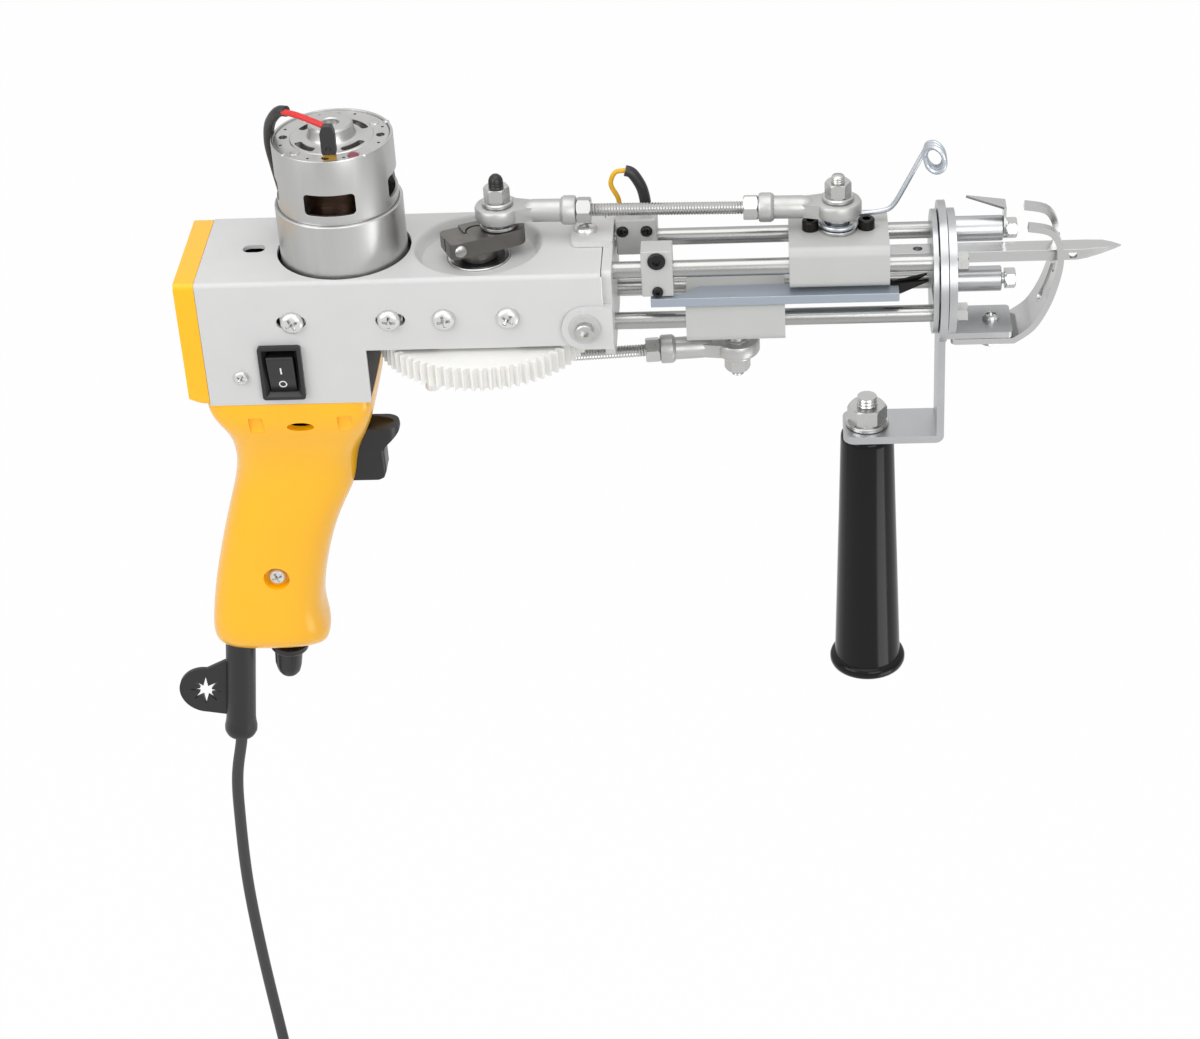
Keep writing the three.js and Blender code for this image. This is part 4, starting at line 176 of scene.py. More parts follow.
def drum(axis, span, radius, at=(0, 0, 0), edge=0.0, steps=48):
    """A round bar between two values along an axis, with its rims turned off by edge."""
    low, high = sorted(span)
    profile = [(0, low), (radius, low), (radius, high), (0, high)]
    if edge:
        profile[1:3] = [(radius - edge, low), (radius, low + edge), (radius, high - edge), (radius - edge, high)]
    centre = Vector(at)
    centre["xyz".index(axis)] = 0
    return spun(profile, centre, axis, steps)


def prism(axis, outline, span, rounding=(), steps=6):
    """An outline drawn out along an axis. Rounding gives a radius and the corners that take it."""
    bm = bmesh.new()
    corners = [bm.verts.new((u, v, 0)) for u, v in outline]
    bm.faces.new(corners)
    for radius, which in rounding:
        bmesh.ops.bevel(bm, geom=[corners[i] for i in which], offset=radius, offset_type="OFFSET",
                        affect="VERTICES", segments=steps, profile=0.5, material=-1)
    grown = bmesh.ops.extrude_face_region(bm, geom=bm.faces[:])["geom"]
    lifted = [v for v in grown if isinstance(v, bmesh.types.BMVert)]
    bmesh.ops.translate(bm, vec=(0, 0, span[1] - span[0]), verts=lifted)
    bmesh.ops.recalc_face_normals(bm, faces=bm.faces)
    bmesh.ops.transform(bm, matrix=Matrix(DRAWN_ALONG[axis]).transposed().to_4x4(), verts=bm.verts)
    start = span[axis == "y"]
    bmesh.ops.translate(bm, vec=[start if letter == axis else 0 for letter in "xyz"], verts=bm.verts)
    return bm


def block(x, y, z):
    """A box between two values along each axis, in either order."""
    x, y, z = sorted(x), sorted(y), sorted(z)
    return prism("z", rect(*x, *y), z)


def egg(reach, at):
    """An ellipsoid, by how far it reaches from its middle along each axis."""
    bm = bmesh.new()
    bmesh.ops.create_uvsphere(bm, u_segments=48, v_segments=32, radius=1)
    return placed(bm, shift(*at) @ Matrix.Diagonal((*reach, 1)))


# %% Cutting and joining
def as_object(bm, name="cutting"):
    """A bmesh as an object in the scene."""
    mesh = bpy.data.meshes.new(name)
    bm.to_mesh(mesh)
    bm.free()
    obj = bpy.data.objects.new(name, mesh)
    scene.collection.objects.link(obj)
    return obj


def as_bmesh(*objects):
    """The first object with its modifiers, as a bmesh; all the objects are used up."""
    bm = bmesh.new()
    bm.from_object(objects[0], bpy.context.evaluated_depsgraph_get())
    for obj in objects:
        mesh = obj.data
        bpy.data.objects.remove(obj)
        bpy.data.meshes.remove(mesh)
    return bm


def cut(solid, *tools, how="DIFFERENCE"):
    """A shape with others cut out of it one by one, by the Boolean modifier; all are used up."""
    for tool in tools:
        whole, cutter = as_object(solid), as_object(tool)
        modifier = whole.modifiers.new("cut", "BOOLEAN")
        modifier.operation, modifier.solver, modifier.object = how, "EXACT", cutter
        solid = as_bmesh(whole, cutter)
    return solid


def joined(solid, *others):
    return cut(solid, *others, how="UNION")


def common(solid, *others):
    return cut(solid, *others, how="INTERSECT")


def together(*shapes):
    """Several shapes in one bmesh, each still a shell of its own."""
    whole = bmesh.new()
    for shape in shapes:
        mesh = bpy.data.meshes.new("part")
        shape.to_mesh(mesh)
        shape.free()
        whole.from_mesh(mesh)
        bpy.data.meshes.remove(mesh)
    return whole


def placed(bm, matrix):
    """The shape moved and turned by a matrix, with its faces kept outwards."""
    bmesh.ops.transform(bm, matrix=matrix, verts=bm.verts)
    if matrix.determinant() < 0:
        bmesh.ops.reverse_faces(bm, faces=bm.faces)
    return bm


def facing(bm, at, direction=(0, 0, 1), twist=0.0):
    """A shape that points up, turned to point in a direction from a place."""
    turn = Vector(direction).to_track_quat("Z", "Y").to_matrix().to_4x4()
    return placed(bm, Matrix.Translation(at) @ turn @ turned(twist))


def on_both_sides(bm):
    """The shape and its mirror image on the machine's other side."""
    return placed(bm.copy(), Matrix.Scale(-1, 4, (0, 1, 0))), bm


def wire(points, radius):
    """A bent round wire: a bevelled curve through the points, turned into a mesh."""
    curve = bpy.data.curves.new("wire", "CURVE")
    curve.dimensions, curve.bevel_depth, curve.bevel_resolution = "3D", radius, 5
    curve.use_fill_caps = True
    spline = curve.splines.new("POLY")
    spline.points.add(len(points) - 1)
    for knot, point in zip(spline.points, points):
        knot.co = (*point, 1)
    carrier = bpy.data.objects.new("wire", curve)
    scene.collection.objects.link(carrier)
    tube = bpy.data.meshes.new_from_object(carrier.evaluated_get(bpy.context.evaluated_depsgraph_get()))
    bm = bmesh.new()
    bm.from_mesh(tube)
    bpy.data.objects.remove(carrier)
    bpy.data.curves.remove(curve)
    bpy.data.meshes.remove(tube)
    bmesh.ops.remove_doubles(bm, verts=bm.verts, dist=TOUCHING)
    bmesh.ops.recalc_face_normals(bm, faces=bm.faces)
    return bm


def soften(obj, width, segments=2):
    """Rounds every edge sharper than 30 degrees by a small radius, as tumbling or moulding leaves it."""
    bevel = obj.modifiers.new("soft edges", "BEVEL")
    bevel.width, bevel.segments = width * MM, segments
    bevel.limit_method, bevel.angle_limit = "ANGLE", radians(30)
    bevel.harden_normals, bevel.use_clamp_overlap = True, True


def piece(name, bm, finish, stands_for=(), body="machine", edge=0.0, segments=2, sharp=35):
    """A finished piece: brought home to the frame, shaded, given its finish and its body."""
    bmesh.ops.translate(bm, vec=-GRIP_MIDDLE, verts=bm.verts)
    bmesh.ops.scale(bm, vec=(MM, MM, MM), verts=bm.verts)
    obj = as_object(bm, name)
    obj.name = obj.data.name = name
    obj.data.materials.clear()
    obj.data.materials.append(finish)
    for polygon in obj.data.polygons:
        polygon.use_smooth = True
    obj.data.set_sharp_from_angle(angle=radians(sharp))
    if edge:
        soften(obj, edge, segments)
    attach(obj, body)
    if stands_for:
        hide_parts(*([stands_for] if isinstance(stands_for, str) else stands_for))
    print(name, "on", body, "with", len(obj.data.polygons), "faces")
    return obj


# %% [markdown]
# ## Screws, nuts and threads
# The same few fasteners come back all over the machine, so they are made once, standing on the
# origin and pointing up, and copies are turned to their places. A pan head is a spun dome with a
# cross recess, whose four wings narrow to a point as the punch that makes them does. A thread is
# a zigzag line spun with a climb of one pitch a turn, so it is a true helix.

# %% Heads, nuts and washers
def hexagon(span, flats):
    """An upright hexagon bar, by its width across flats, with the corners of both ends turned off."""
    reach = flats / 2 / cos(pi / 6)
    points = [on_circle(reach, i * pi / 3) for i in range(6)]
    return common(prism("z", points, span), drum("z", span, reach * 1.003, edge=(reach - flats / 2) * 0.9))


def pan_head(radius, height, recess=0.62):
    """A pan head screw standing on its face, with a cross recess as deep as most of the head."""
    dome = [(0, 0), (radius, 0), (radius, height * 0.3), (radius * 0.93, height * 0.62),
            (radius * 0.76, height * 0.88), (radius * 0.45, height), (0, height * 1.02)]
    reach, deep, wing = radius * recess, height * 0.8, radius * 0.13
    blade = [(-reach, 0.4), (-reach * 0.85, -deep * 0.35), (-wing, -deep), (wing, -deep),
             (reach * 0.85, -deep * 0.35), (reach, 0.4)]
    wings = [placed(prism("y", blade, (-wing, wing)), shift(0, 0, height) @ turned(turn)) for turn in (0, pi / 2)]
    return cut(spun(dome, steps=32), *wings)


def hex_nut(flats, height, bore=0.0):
    """A hexagon nut on its face, corners turned off, with its hole countersunk if it has one."""
    nut = hexagon((0, height), flats)
    if bore:
        sink = [(0, -1), (bore, -1), (bore, height - 0.4), (bore + 0.7, height + 0.3), (0, height + 0.3)]
        nut = cut(nut, spun(sink, steps=32))
    return nut


def washer(outer, height, bore):
    return spun([(bore, 0), (outer - 0.2, 0), (outer, 0.2), (outer, height - 0.2), (outer - 0.2, height),
                 (bore, height)], steps=48)


def socket_cap(radius, height, socket, deep=1.9):
    """A cap screw's head on its face, with a hexagon socket and a turned rim."""
    head = spun([(0, 0), (radius, 0), (radius, height - 0.35), (radius - 0.35, height), (0, height)], steps=32)
    return cut(head, hexagon((height - deep, height + 1), socket * 2))


def threaded(radius, length, pitch, depth=0.32, steps=16):
    """A threaded bar on the origin, pointing up, its thread a helix cut square at both ends."""
    bm = bmesh.new()
    count = int(length / pitch) + 2
    points = [(radius - (depth if i % 2 else 0), (i / 2 - 1) * pitch) for i in range(2 * count + 1)]
    ring = [bm.verts.new((r, 0, z)) for r, z in points]
    for a, b in zip(ring, ring[1:]):
        bm.edges.new((a, b))
    bmesh.ops.spin(bm, geom=bm.verts[:] + bm.edges[:], axis=(0, 0, 1), cent=(0, 0, 0),
                   dvec=(0, 0, pitch / steps), angle=2 * pi, steps=steps, use_merge=False, use_duplicate=False)
    bmesh.ops.remove_doubles(bm, verts=bm.verts, dist=0.001)
    for height, side in ((0, -1), (length, 1)):
        ends = bmesh.ops.bisect_plane(bm, geom=bm.verts[:] + bm.edges[:] + bm.faces[:], plane_co=(0, 0, height),
                                      plane_no=(0, 0, side), clear_outer=True, dist=TOUCHING)["geom_cut"]
        rim = [e for e in ends if isinstance(e, bmesh.types.BMEdge) and e.is_boundary]
        bmesh.ops.edgeloop_fill(bm, edges=rim)
    bmesh.ops.recalc_face_normals(bm, faces=bm.faces)
    return bm


print("fasteners ready")

# %% [markdown]
# ## Finishes
# Colours are picked as sRGB hex values, the way a paint card is read, and turned to linear light
# once. Every finish has the fine unevenness of its making: the orange peel of powder coat, the
# draw lines of ground rods, the faint waves of moulded plastic. Patterns read Object coordinates,
# so they lie still on the piece, and their scales come from real sizes in millimetres.

# %% Nodes
def srgb(code):
    """The linear colour of an sRGB hex value."""
    parts = [int(code[i : i + 2], 16) / 255 for i in (1, 3, 5)]
    return tuple(v / 12.92 if v <= 0.04045 else ((v + 0.055) / 1.055) ** 2.4 for v in parts) + (1,)


def node(tree, kind, inputs=(), **settings):
    """Adds a node with its settings; inputs are (socket, value or another node's output) pairs."""
    made = tree.nodes.new("ShaderNode" + kind)
    for name, value in settings.items():
        setattr(made, name, value)
    for socket, value in inputs:
        if isinstance(value, bpy.types.NodeSocket):
            tree.links.new(value, made.inputs[socket])
        else:
            made.inputs[socket].default_value = value
    return made


def emptied(owner):
    """The node tree of a material or a world, with nothing in it."""
    owner.use_nodes = True
    owner.node_tree.nodes.clear()
    return owner.node_tree


def speckle(tree, size, stretch):
    """Noise whose blotches are size millimetres across, drawn out along the axes by stretch."""
    place = node(tree, "TexCoord").outputs["Object"]
    scale = tuple(1 / (size * MM * s) for s in stretch)
    fitted = node(tree, "Mapping", [("Vector", place), ("Scale", scale)]).outputs[0]
    return node(tree, "TexNoise", [("Vector", fitted), ("Scale", 1.0), ("Detail", 3.0)]).outputs["Fac"]


def finish(name, slot, colour, tint, roughness, metallic=0.0, spread=0.06, mottle=14, grain=1.0, depth=0.004,
           stretch=(1, 1, 1), **sockets):
    """A finish: colour wandering slightly to a tint, roughness wandering by spread, and a fine bump.

    Mottle and grain are the sizes in millimetres of the wandering and of the bump, depth its height."""
    material = bpy.data.materials.new(name)
    tree = emptied(material)
    wander, fine = speckle(tree, mottle, stretch), speckle(tree, grain, stretch)
    hue = node(tree, "Mix", [("Factor", wander), (6, srgb(colour)), (7, srgb(tint))], data_type="RGBA")
    rough = node(tree, "MapRange", [("Value", wander), ("From Min", 0.2), ("From Max", 0.8),
                                    ("To Min", roughness - spread), ("To Max", roughness + spread)],
                 interpolation_type="SMOOTHSTEP")
    bump = node(tree, "Bump", [("Height", fine), ("Strength", 0.5), ("Distance", depth * MM)])
    shader = node(tree, "BsdfPrincipled", [("Base Color", hue.outputs[2]), ("Roughness", rough.outputs[0]),
                                           ("Metallic", metallic), ("Normal", bump.outputs[0]), *sockets.items()])
    node(tree, "OutputMaterial", [("Surface", shader.outputs[0])])
    return material


# %% [markdown]
# ### Paint and plastics
# The body wears a satin light grey powder coat, slightly uneven, with an orange peel about a
# millimetre across; sliders and clamp blocks are a shade darker. The rear cover and the grip are
# glossy ABS in warm yellow, moulded in a polished tool. The front handle is polished black ABS,
# while the trigger, sleeve and knob come from a duller tool.

# %% Paint and plastic finishes
powder_coat = finish("satin_grey_powder_coat", "body_paint", "#cfcfce", "#c9c9c9", 0.4, 0, 0.05, 14, 0.9, 0.006)
slider_coat = finish("satin_grey_slider_coat", "body_paint", "#bfbfbc", "#b8b9b7", 0.36, 0, 0.05, 14, 0.7)
yellow_abs = finish("glossy_yellow_abs", "yellow_plastic", "#ffbd0a", "#ffb804", 0.24, 0, 0.04, 25, 2.5, 0.006,
                    **{"Coat Weight": 0.15, "Coat Roughness": 0.12, "Subsurface Weight": 0.06,
                       "Subsurface Scale": 0.002})
polished_black_abs = finish("polished_black_abs", "gloss_black", "#131214", "#171618", 0.16, 0, 0.03, 20, 5, 0.008,
                            **{"Specular IOR Level": 0.18})
satin_black_abs = finish("satin_black_abs", "black_plastic", "#19171a", "#1f1d1f", 0.38, grain=0.5, depth=0.008)
switch_black = finish("black_polycarbonate", "gloss_black", "#1f1e1f", "#242324", 0.3, spread=0.04, grain=0.6)
white_nylon = finish("moulded_white_nylon", "white_nylon", "#efefec", "#e9e8e4", 0.45, 0, 0.03, 10, 0.8, 0.006,
                     **{"Subsurface Weight": 0.08, "Subsurface Scale": 0.002})
# A dark grey board colour: painted shade for the insides of the body's openings.
painted_shade_board = finish("dark_painted_shade_board", "black_plastic", "#3b3735", "#33302e", 0.85, 0, 0.05, 6, 0.6, 0.01)
print("eight finishes of paint, plastic and board")

# %% [markdown]
# ### Metals
# Polished and plated steel shows its room, so its streaks matter more than its colour. The guide
# rods are ground and chromed, with hair lines along them. The discs are satin chrome, the foot and
# the needle bright. The motor's steel is drawn and zinc plated, with upright draw lines, screws and
# nuts are zinc, the push bar has the bluish zinc of its passivation, and the arm is burnished.

# %% Metal finishes
ground_chrome = finish("ground_chrome_rod", "chrome", "#aeaeac", "#a3a3a1", 0.26, 1, 0.05, 3, 0.35, 0.003, (12, 1, 1))
burnished_steel = finish("burnished_dark_steel", "black_steel", "#7b7875", "#6b6865", 0.36, 0.8, 0.06, 5, 0.6)
satin_nickel = finish("satin_nickel_casting", "chrome", "#bebebc", "#b5b5b3", 0.42, 0.7, 0.06, 5, 0.8, 0.006)
satin_chrome = finish("satin_chrome_plate", "chrome", "#b9babc", "#bdbebf", 0.34, 1, 0.05, 6, 0.5, 0.003)
bright_chrome = finish("bright_nickel", "chrome", "#c4c4c4", "#c6c6c5", 0.2, 1, 0.05, 4, 0.6, 0.003)
drawn_steel = finish("drawn_zinc_plated_steel", "plated_steel", "#cacac8", "#bbbbba", 0.36, 1, 0.07, 5, 0.4, 0.005,
                     (1, 1, 8))
bright_zinc = finish("bright_zinc_plate", "plated_steel", "#c8c8c6", "#bdbdbb", 0.28, 1, 0.04, 8, 0.5, 0.003)
screw_zinc = finish("white_zinc_screw", "plated_steel", "#dededc", "#d2d2d0", 0.36, 0.75, 0.04, 6, 0.5, 0.003)
spring_wire = finish("bluish_spring_wire", "chrome", "#c9cdd2", "#bfc6ce", 0.32, 0.8, 0.02, 12, 1, 0)
blue_zinc = finish("blue_passivated_zinc", "plated_steel", "#a9b1bb", "#9ea7b2", 0.38, 0.6, 0.07, 8, 0.5,
                   stretch=(6, 1, 1))
black_oxide = finish("black_oxide_steel", "black_steel", "#383635", "#2b2a2a", 0.36, 1, 0.07, 3, 0.4, 0.006)
black_screw = finish("black_oiled_screw", "black_steel", "#232224", "#2a292b", 0.34, 0.6, 0.06, 2, 0.3, 0.005)
brass = finish("stamped_brass", "rotor", "#d9ae57", "#c79a45", 0.3, 1, 0.06, 2, 0.4)
print("thirteen metal finishes")

# %% [markdown]
# ### Wires, winding and cord
# PVC insulation is soft and slightly shiny, and the cord's sheath is duller. The motor's winding
# is enamelled copper, laid turn by turn, so a fine wave gives it rows of wire half a millimetre
# wide, drawn coarser than real 0.3 mm wire so that the rows still show.

# %% Wire finishes
red_pvc = finish("red_pvc", "red_wire", "#d92b2b", "#c92525", 0.35, grain=0.8)
yellow_pvc = finish("yellow_pvc", "yellow_wire", "#e0ab12", "#dda812", 0.4, spread=0.02, depth=0)
black_pvc = finish("black_pvc_sleeve", "black_plastic", "#242223", "#2b292a", 0.38, grain=0.8, depth=0.008)
cord_pvc = finish("dark_grey_pvc_sheath", "cord_rubber", "#333233", "#393839", 0.5, 0, 0.05, 30, 0.7, 0.01)
sealing_lacquer = finish("maroon_sealing_lacquer", "red_wire", "#8c3346", "#7a2a3c", 0.3, grain=1.5, depth=0.02)
enamelled_copper = finish("enamelled_copper", "rotor", "#4f3626", "#33251d", 0.38, 0.6, 0.06, 4, 0.5, 0.006)
ROW_OF_WIRE = 0.5 * MM
tree = enamelled_copper.node_tree
rows = node(tree, "TexWave", [("Vector", node(tree, "TexCoord").outputs["Object"]), ("Scale", pi / 10 / ROW_OF_WIRE)],
            wave_type="BANDS", bands_direction="Z")
ridges = node(tree, "Bump", [("Height", rows.outputs["Fac"]), ("Strength", 0.7), ("Distance", 0.3 * ROW_OF_WIRE)])
tree.links.new(ridges.outputs[0], tree.nodes["Principled BSDF"].inputs["Normal"])
print("six finishes of wire and cord")

# %% [markdown]
# ## Body
# The body is one sheet of 1.5 mm steel folded to a U that opens downwards, so its long top edges
# are round and all its other edges are cut. A prism of the U section gives the fold, and the
# Boolean modifier takes out what a press would punch. The dish round the crank is pressed in: it
# is a spun cup under the sheet, hollowed by a spun tool with a soft rim.

# %% Folded body
REAR, FRONT, HALF, WALL = -49.6, 90.7, 25.1, 1.5
HEEL_X, NOSE_Z, HEEL_Z = 7.6, -27.5, -48.5
ALL_FOUR, CRANK = [0, 1, 2, 3], (CRANK_X, 0, 0)
inner = HALF - WALL
section = [(-HALF, HEEL_Z), (-inner, HEEL_Z), (-inner, -WALL), (inner, -WALL), (inner, HEEL_Z), (HALF, HEEL_Z),
           (HALF, 0), (-HALF, 0)]
cup = [(11.15, -6.5), (21.2, -6.5), (23.2, -4.9), (23.7, -0.6), (11.15, -0.6)]
dish = [(0, 3), (23.5, 3), (23.5, 0), (22.9, -0.1), (22.4, -0.4), (21.9, -1.1), (21.3, -2.6), (20.7, -3.9),
        (19.9, -4.7), (18.8, -5), (0, -5)]
shell = prism("x", section, (REAR, FRONT), [(1.7, [6, 7]), (0.5, [2, 3])])
shell = cut(shell, block((HEEL_X, FRONT + 3), (-30, 30), (HEEL_Z - 3, NOSE_Z)))
shell = cut(joined(shell, spun(cup, CRANK, steps=96)), spun(dish, CRANK, steps=96),
            drum("z", (-9, 3), 11.15, CRANK), drum("z", (-4, 3), 23.6, steps=96))
print("folded body with", len(shell.faces), "faces")


# %% Punched openings
def slot_tool(axis, u, v, length, width, span):
    """A cutting bar with round ends, long along the first axis of its outline."""
    half, tall = length / 2, width / 2
    return prism(axis, rect(u - half, u + half, v - tall, v + tall), span, [(tall * 0.999, ALL_FOUR)], 8)


SIDE_SLOTS, SADDLE_Z, BLOCK_Z = (-17.3, 17.3), -15.6, -15.8
SWITCH_X, SWITCH_Z = -22.6, -35
openings = [slot_tool("z", -32, 0.6, 8.1, 5.6, (-4, 3)), drum("z", (-4, 3), 2.9, (-21, 17.6, 0), steps=24)]
openings += [slot_tool("y", x, SADDLE_Z, 10.4, 4.6, (-30, 30)) for x in SIDE_SLOTS]
openings += [block((SWITCH_X - 5.4, SWITCH_X + 5.4), (-30, 0), (SWITCH_Z - 8.4, SWITCH_Z + 8.4))]
piece("folded_body", cut(shell, *openings), powder_coat, "housing", edge=0.18, sharp=25)

# %% [markdown]
# Nine pan head screws hold what hangs inside: four in the slots for the motor's saddle, four for
# the nylon block and a small one at the heel's corner. They are white zinc, a little proud of the
# paint, so each head catches its own highlight.

# %% Body screws
SADDLE_SCREWS, BLOCK_SCREWS = (-16.9, 16.9), (CRANK_X - 11.1, CRANK_X + 11.1)
saddle_heads, block_heads = [], []
for side in (-1, 1):
    out, seat_y = (0, side, 0), side * (HALF + 0.1)
    for i, x in enumerate(SADDLE_SCREWS):
        seat = (x, seat_y, SADDLE_Z)
        saddle_heads += [facing(pan_head(4, 2.2), seat, out, 0.5 + i), facing(drum("z", (-4, 0.3), 1.9), seat, out)]
    for i, x in enumerate(BLOCK_SCREWS):
        block_heads.append(facing(pan_head(4, 2.2), (x, seat_y, BLOCK_Z), out, 0.2 + 0.7 * i))
piece("saddle_screws", together(*saddle_heads), screw_zinc, edge=0.12)
piece("block_screws", together(*block_heads), screw_zinc, edge=0.12)
piece("corner_screw", facing(pan_head(2.7, 1.7), (-37.3, -HALF, -37.1), NEAR, 0.9), screw_zinc, edge=0.08)

# %% [markdown]
# ## Rear cover
# The cover is a shallow moulded cap with a sloping lower edge and a lip that slides into the body.
# Glossy plastic needs wider edge radii than sheet metal, because a sink mark or a knife edge would
# crack, so its bevel is half a millimetre wide.

# %% Rear cover
cover_back, cover_front = REAR - 7.35, REAR - 0.15
outer = prism("x", rect(-HALF, HALF, HEEL_Z, 0), (cover_back, cover_front), [(2.4, ALL_FOUR)], 8)
side = [(cover_front + 1, 2), (cover_back, 2), (cover_back, HEEL_Z + 3), (cover_front - 1.2, HEEL_Z + 0.15),
        (cover_front + 1, HEEL_Z + 0.15)]
outer = common(outer, prism("y", side, (-HALF - 1, HALF + 1)))
lip = prism("x", rect(-23.45, 23.45, HEEL_Z + 3.15, -1.65), (cover_front - 1, cover_front + 3), [(2, ALL_FOUR)])
hollow = prism("x", rect(-21.4, 21.4, HEEL_Z + 5.2, -3.7), (cover_back + 2, cover_front + 6), [(2, ALL_FOUR)])
piece("rear_cap", cut(joined(outer, lip), hollow), yellow_abs, "rear_cover", edge=0.5, segments=4, sharp=25)

# %% [markdown]
# ## Power switch
# A rocker switch of the 13 by 19 mm kind snaps into the near wall. Its bezel slopes inwards to a
# well, and the rocker stands pushed in at its upper half. The white marks for on and off are
# printed on the rocker, so they are thin raised shapes in white on its surface.

# %% Switch bezel
def in_switch(half, tall):
    """A rectangle round the switch's middle, by half its width and half its height."""
    return rect(SWITCH_X - half, SWITCH_X + half, SWITCH_Z - tall, SWITCH_Z + tall)


face = -HALF - 0.15
bezel = prism("y", in_switch(7.6, 10.6), (face - 1.8, face), [(1.1, ALL_FOUR)])
bezel = joined(bezel, prism("y", in_switch(5.2, 8.2), (face - 0.5, face + 13)))
well = block((SWITCH_X - 5, SWITCH_X + 5), (face - 3, face + 6), (SWITCH_Z - 8.1, SWITCH_Z + 8.1))
slope = bmesh.new()
bmesh.ops.create_cube(slope, size=1)
bmesh.ops.scale(slope, vec=(13.6, 2.4, 19.6), verts=slope.verts)
bmesh.ops.scale(slope, vec=(0.735, 1, 0.826), verts=[v for v in slope.verts if v.co.y > 0])
bezel = cut(bezel, well, placed(slope, shift(SWITCH_X, face - 1.25, SWITCH_Z)))
piece("switch_bezel", bezel, switch_black, "power_switch_body", edge=0.25, segments=3)

# %% Rocker with its marks
ROCKER_TILT = radians(11)
crown, deep = face - 1.9, face + 5
profile = [(-7.9, crown + 0.6), (-7, crown + 0.1), (0, crown + 0.2), (7, crown + 0.35), (7.7, crown + 0.9),
           (5.4, deep), (-5.4, deep)]
rocker = prism("x", [(y, up) for up, y in profile], (SWITCH_X - 4.7, SWITCH_X + 4.7))
bar_mark = block((SWITCH_X - 0.28, SWITCH_X + 0.28), (crown + 0.16, crown + 0.7), (0.6, 3.4))
ring = [(1.45, 0), (1.45, 0.5), (1.05, 0.5), (1.05, 0)]
ring_mark = facing(spun(ring, steps=40), (SWITCH_X, crown + 0.55, -3.9), NEAR)
lift = shift(0, face + 2, SWITCH_Z) @ turned(ROCKER_TILT, "X") @ shift(0, -face - 2, 0)
piece("rocker", placed(rocker, lift), switch_black, "power_switch_rocker", "rocker", 0.3, 3)
piece("rocker_marks", placed(together(bar_mark, ring_mark), lift), white_nylon, body="rocker")

# %% [markdown]
# The heel is open in front, above the grip. Two dark boards stand in for painted shade, one behind
# that opening and one under the roof, so both openings look dark as shaded hollows.

# %% Painted shade boards
heel = block((6.5, 7.4), (-23.4, 23.4), (HEEL_Z + 0.4, NOSE_Z - 0.3))
roof = block((REAR + 6, -24.5), (-15, 14), (-7, -6))
piece("painted_shade_boards", together(heel, roof), painted_shade_board, edge=0.1)

# %% [markdown]
# ## Hand grip
# The grip is moulded in two glossy yellow shells that meet on the machine's middle plane. It is
# nearly square where it carries the body, waisted where the hand closes and swollen at its end.
# A ring of edges is extruded down the grip and shaped to a section at each step, and subdivision
# smooths the loft before the shells are cut apart, because a crease is easier to cut than to pull.

# %% Loft of the grip
GRIP_DROP, HEEL_DEEP, GRIP_WIDE = 119.7, 57.2, 50.2
# down, rear and front, half width as shares of those three sizes, and squareness
GRIP_SECTIONS = [
    (0, -0.052, 0.998, 0.498, 8), (0.012, -0.051, 0.998, 0.498, 8), (0.045, -0.044, 0.995, 0.497, 8),
    (0.085, -0.012, 0.975, 0.48, 7), (0.13, 0.024, 0.945, 0.44, 5.5), (0.18, 0.043, 0.905, 0.392, 4.4),
    (0.24, 0.042, 0.842, 0.355, 3.4), (0.3, 0.032, 0.816, 0.338, 2.9), (0.36, 0.004, 0.798, 0.334, 2.8),
    (0.42, -0.035, 0.738, 0.334, 2.8), (0.48, -0.075, 0.672, 0.334, 2.8), (0.56, -0.126, 0.604, 0.332, 2.8),
    (0.64, -0.172, 0.552, 0.328, 2.8), (0.74, -0.226, 0.498, 0.328, 2.8), (0.84, -0.266, 0.462, 0.34, 2.8),
    (0.9, -0.284, 0.478, 0.344, 2.8), (0.935, -0.284, 0.486, 0.318, 2.8), (0.96, -0.274, 0.483, 0.262, 2.8),
    (0.98, -0.252, 0.47, 0.19, 3), (0.994, -0.222, 0.445, 0.122, 3.2), (1, -0.2, 0.42, 0.08, 3.4),
]


def shape_ring(verts, section, inset):
    """Moves a ring of vertices onto a rounded square section of the grip."""
    down, rear, front, half, square = section
    x0, x1 = REAR + rear * HEEL_DEEP + inset, REAR + front * HEEL_DEEP - inset
    for i, vert in enumerate(verts):
        turn = 2 * pi * (i + 0.5) / len(verts)
        u, v = (abs(f) ** (2 / square) * (1 if f > 0 else -1) for f in (cos(turn), sin(turn)))
        x, y = (x0 + x1) / 2 + u * (x1 - x0) / 2, v * (half * GRIP_WIDE - inset)
        vert.co = (x, y, HEEL_Z - 0.15 - down * GRIP_DROP)


def grip_loft(sections, inset=0.0, sides=36, levels=2):
    """The grip's form through its sections, closed at both ends and subdivided."""
    bm = bmesh.new()
    ring = bmesh.ops.create_circle(bm, cap_ends=False, segments=sides, radius=1)["verts"]
    shape_ring(ring, sections[0], inset)
    rims = [list(ring)]
    for section in sections[1:]:
        around = [e for e in bm.edges if all(v in rims[-1] for v in e.verts)]
        new = bmesh.ops.extrude_edge_only(bm, edges=around)["geom"]
        fresh = [v for v in new if isinstance(v, bmesh.types.BMVert)]
        partner = {v: next(e.other_vert(v) for e in v.link_edges if e.other_vert(v) in rims[-1]) for v in fresh}
        ring = sorted(fresh, key=lambda v: rims[-1].index(partner[v]))
        shape_ring(ring, section, inset)
        rims.append(ring)
    for rim in (rims[0], rims[-1]):
        bmesh.ops.inset_region(bm, faces=[bm.faces.new(rim)], thickness=0.5, use_even_offset=True)
    bmesh.ops.recalc_face_normals(bm, faces=bm.faces)
    form = as_object(bm)
    form.modifiers.new("smooth", "SUBSURF").levels = levels
    return as_bmesh(form)


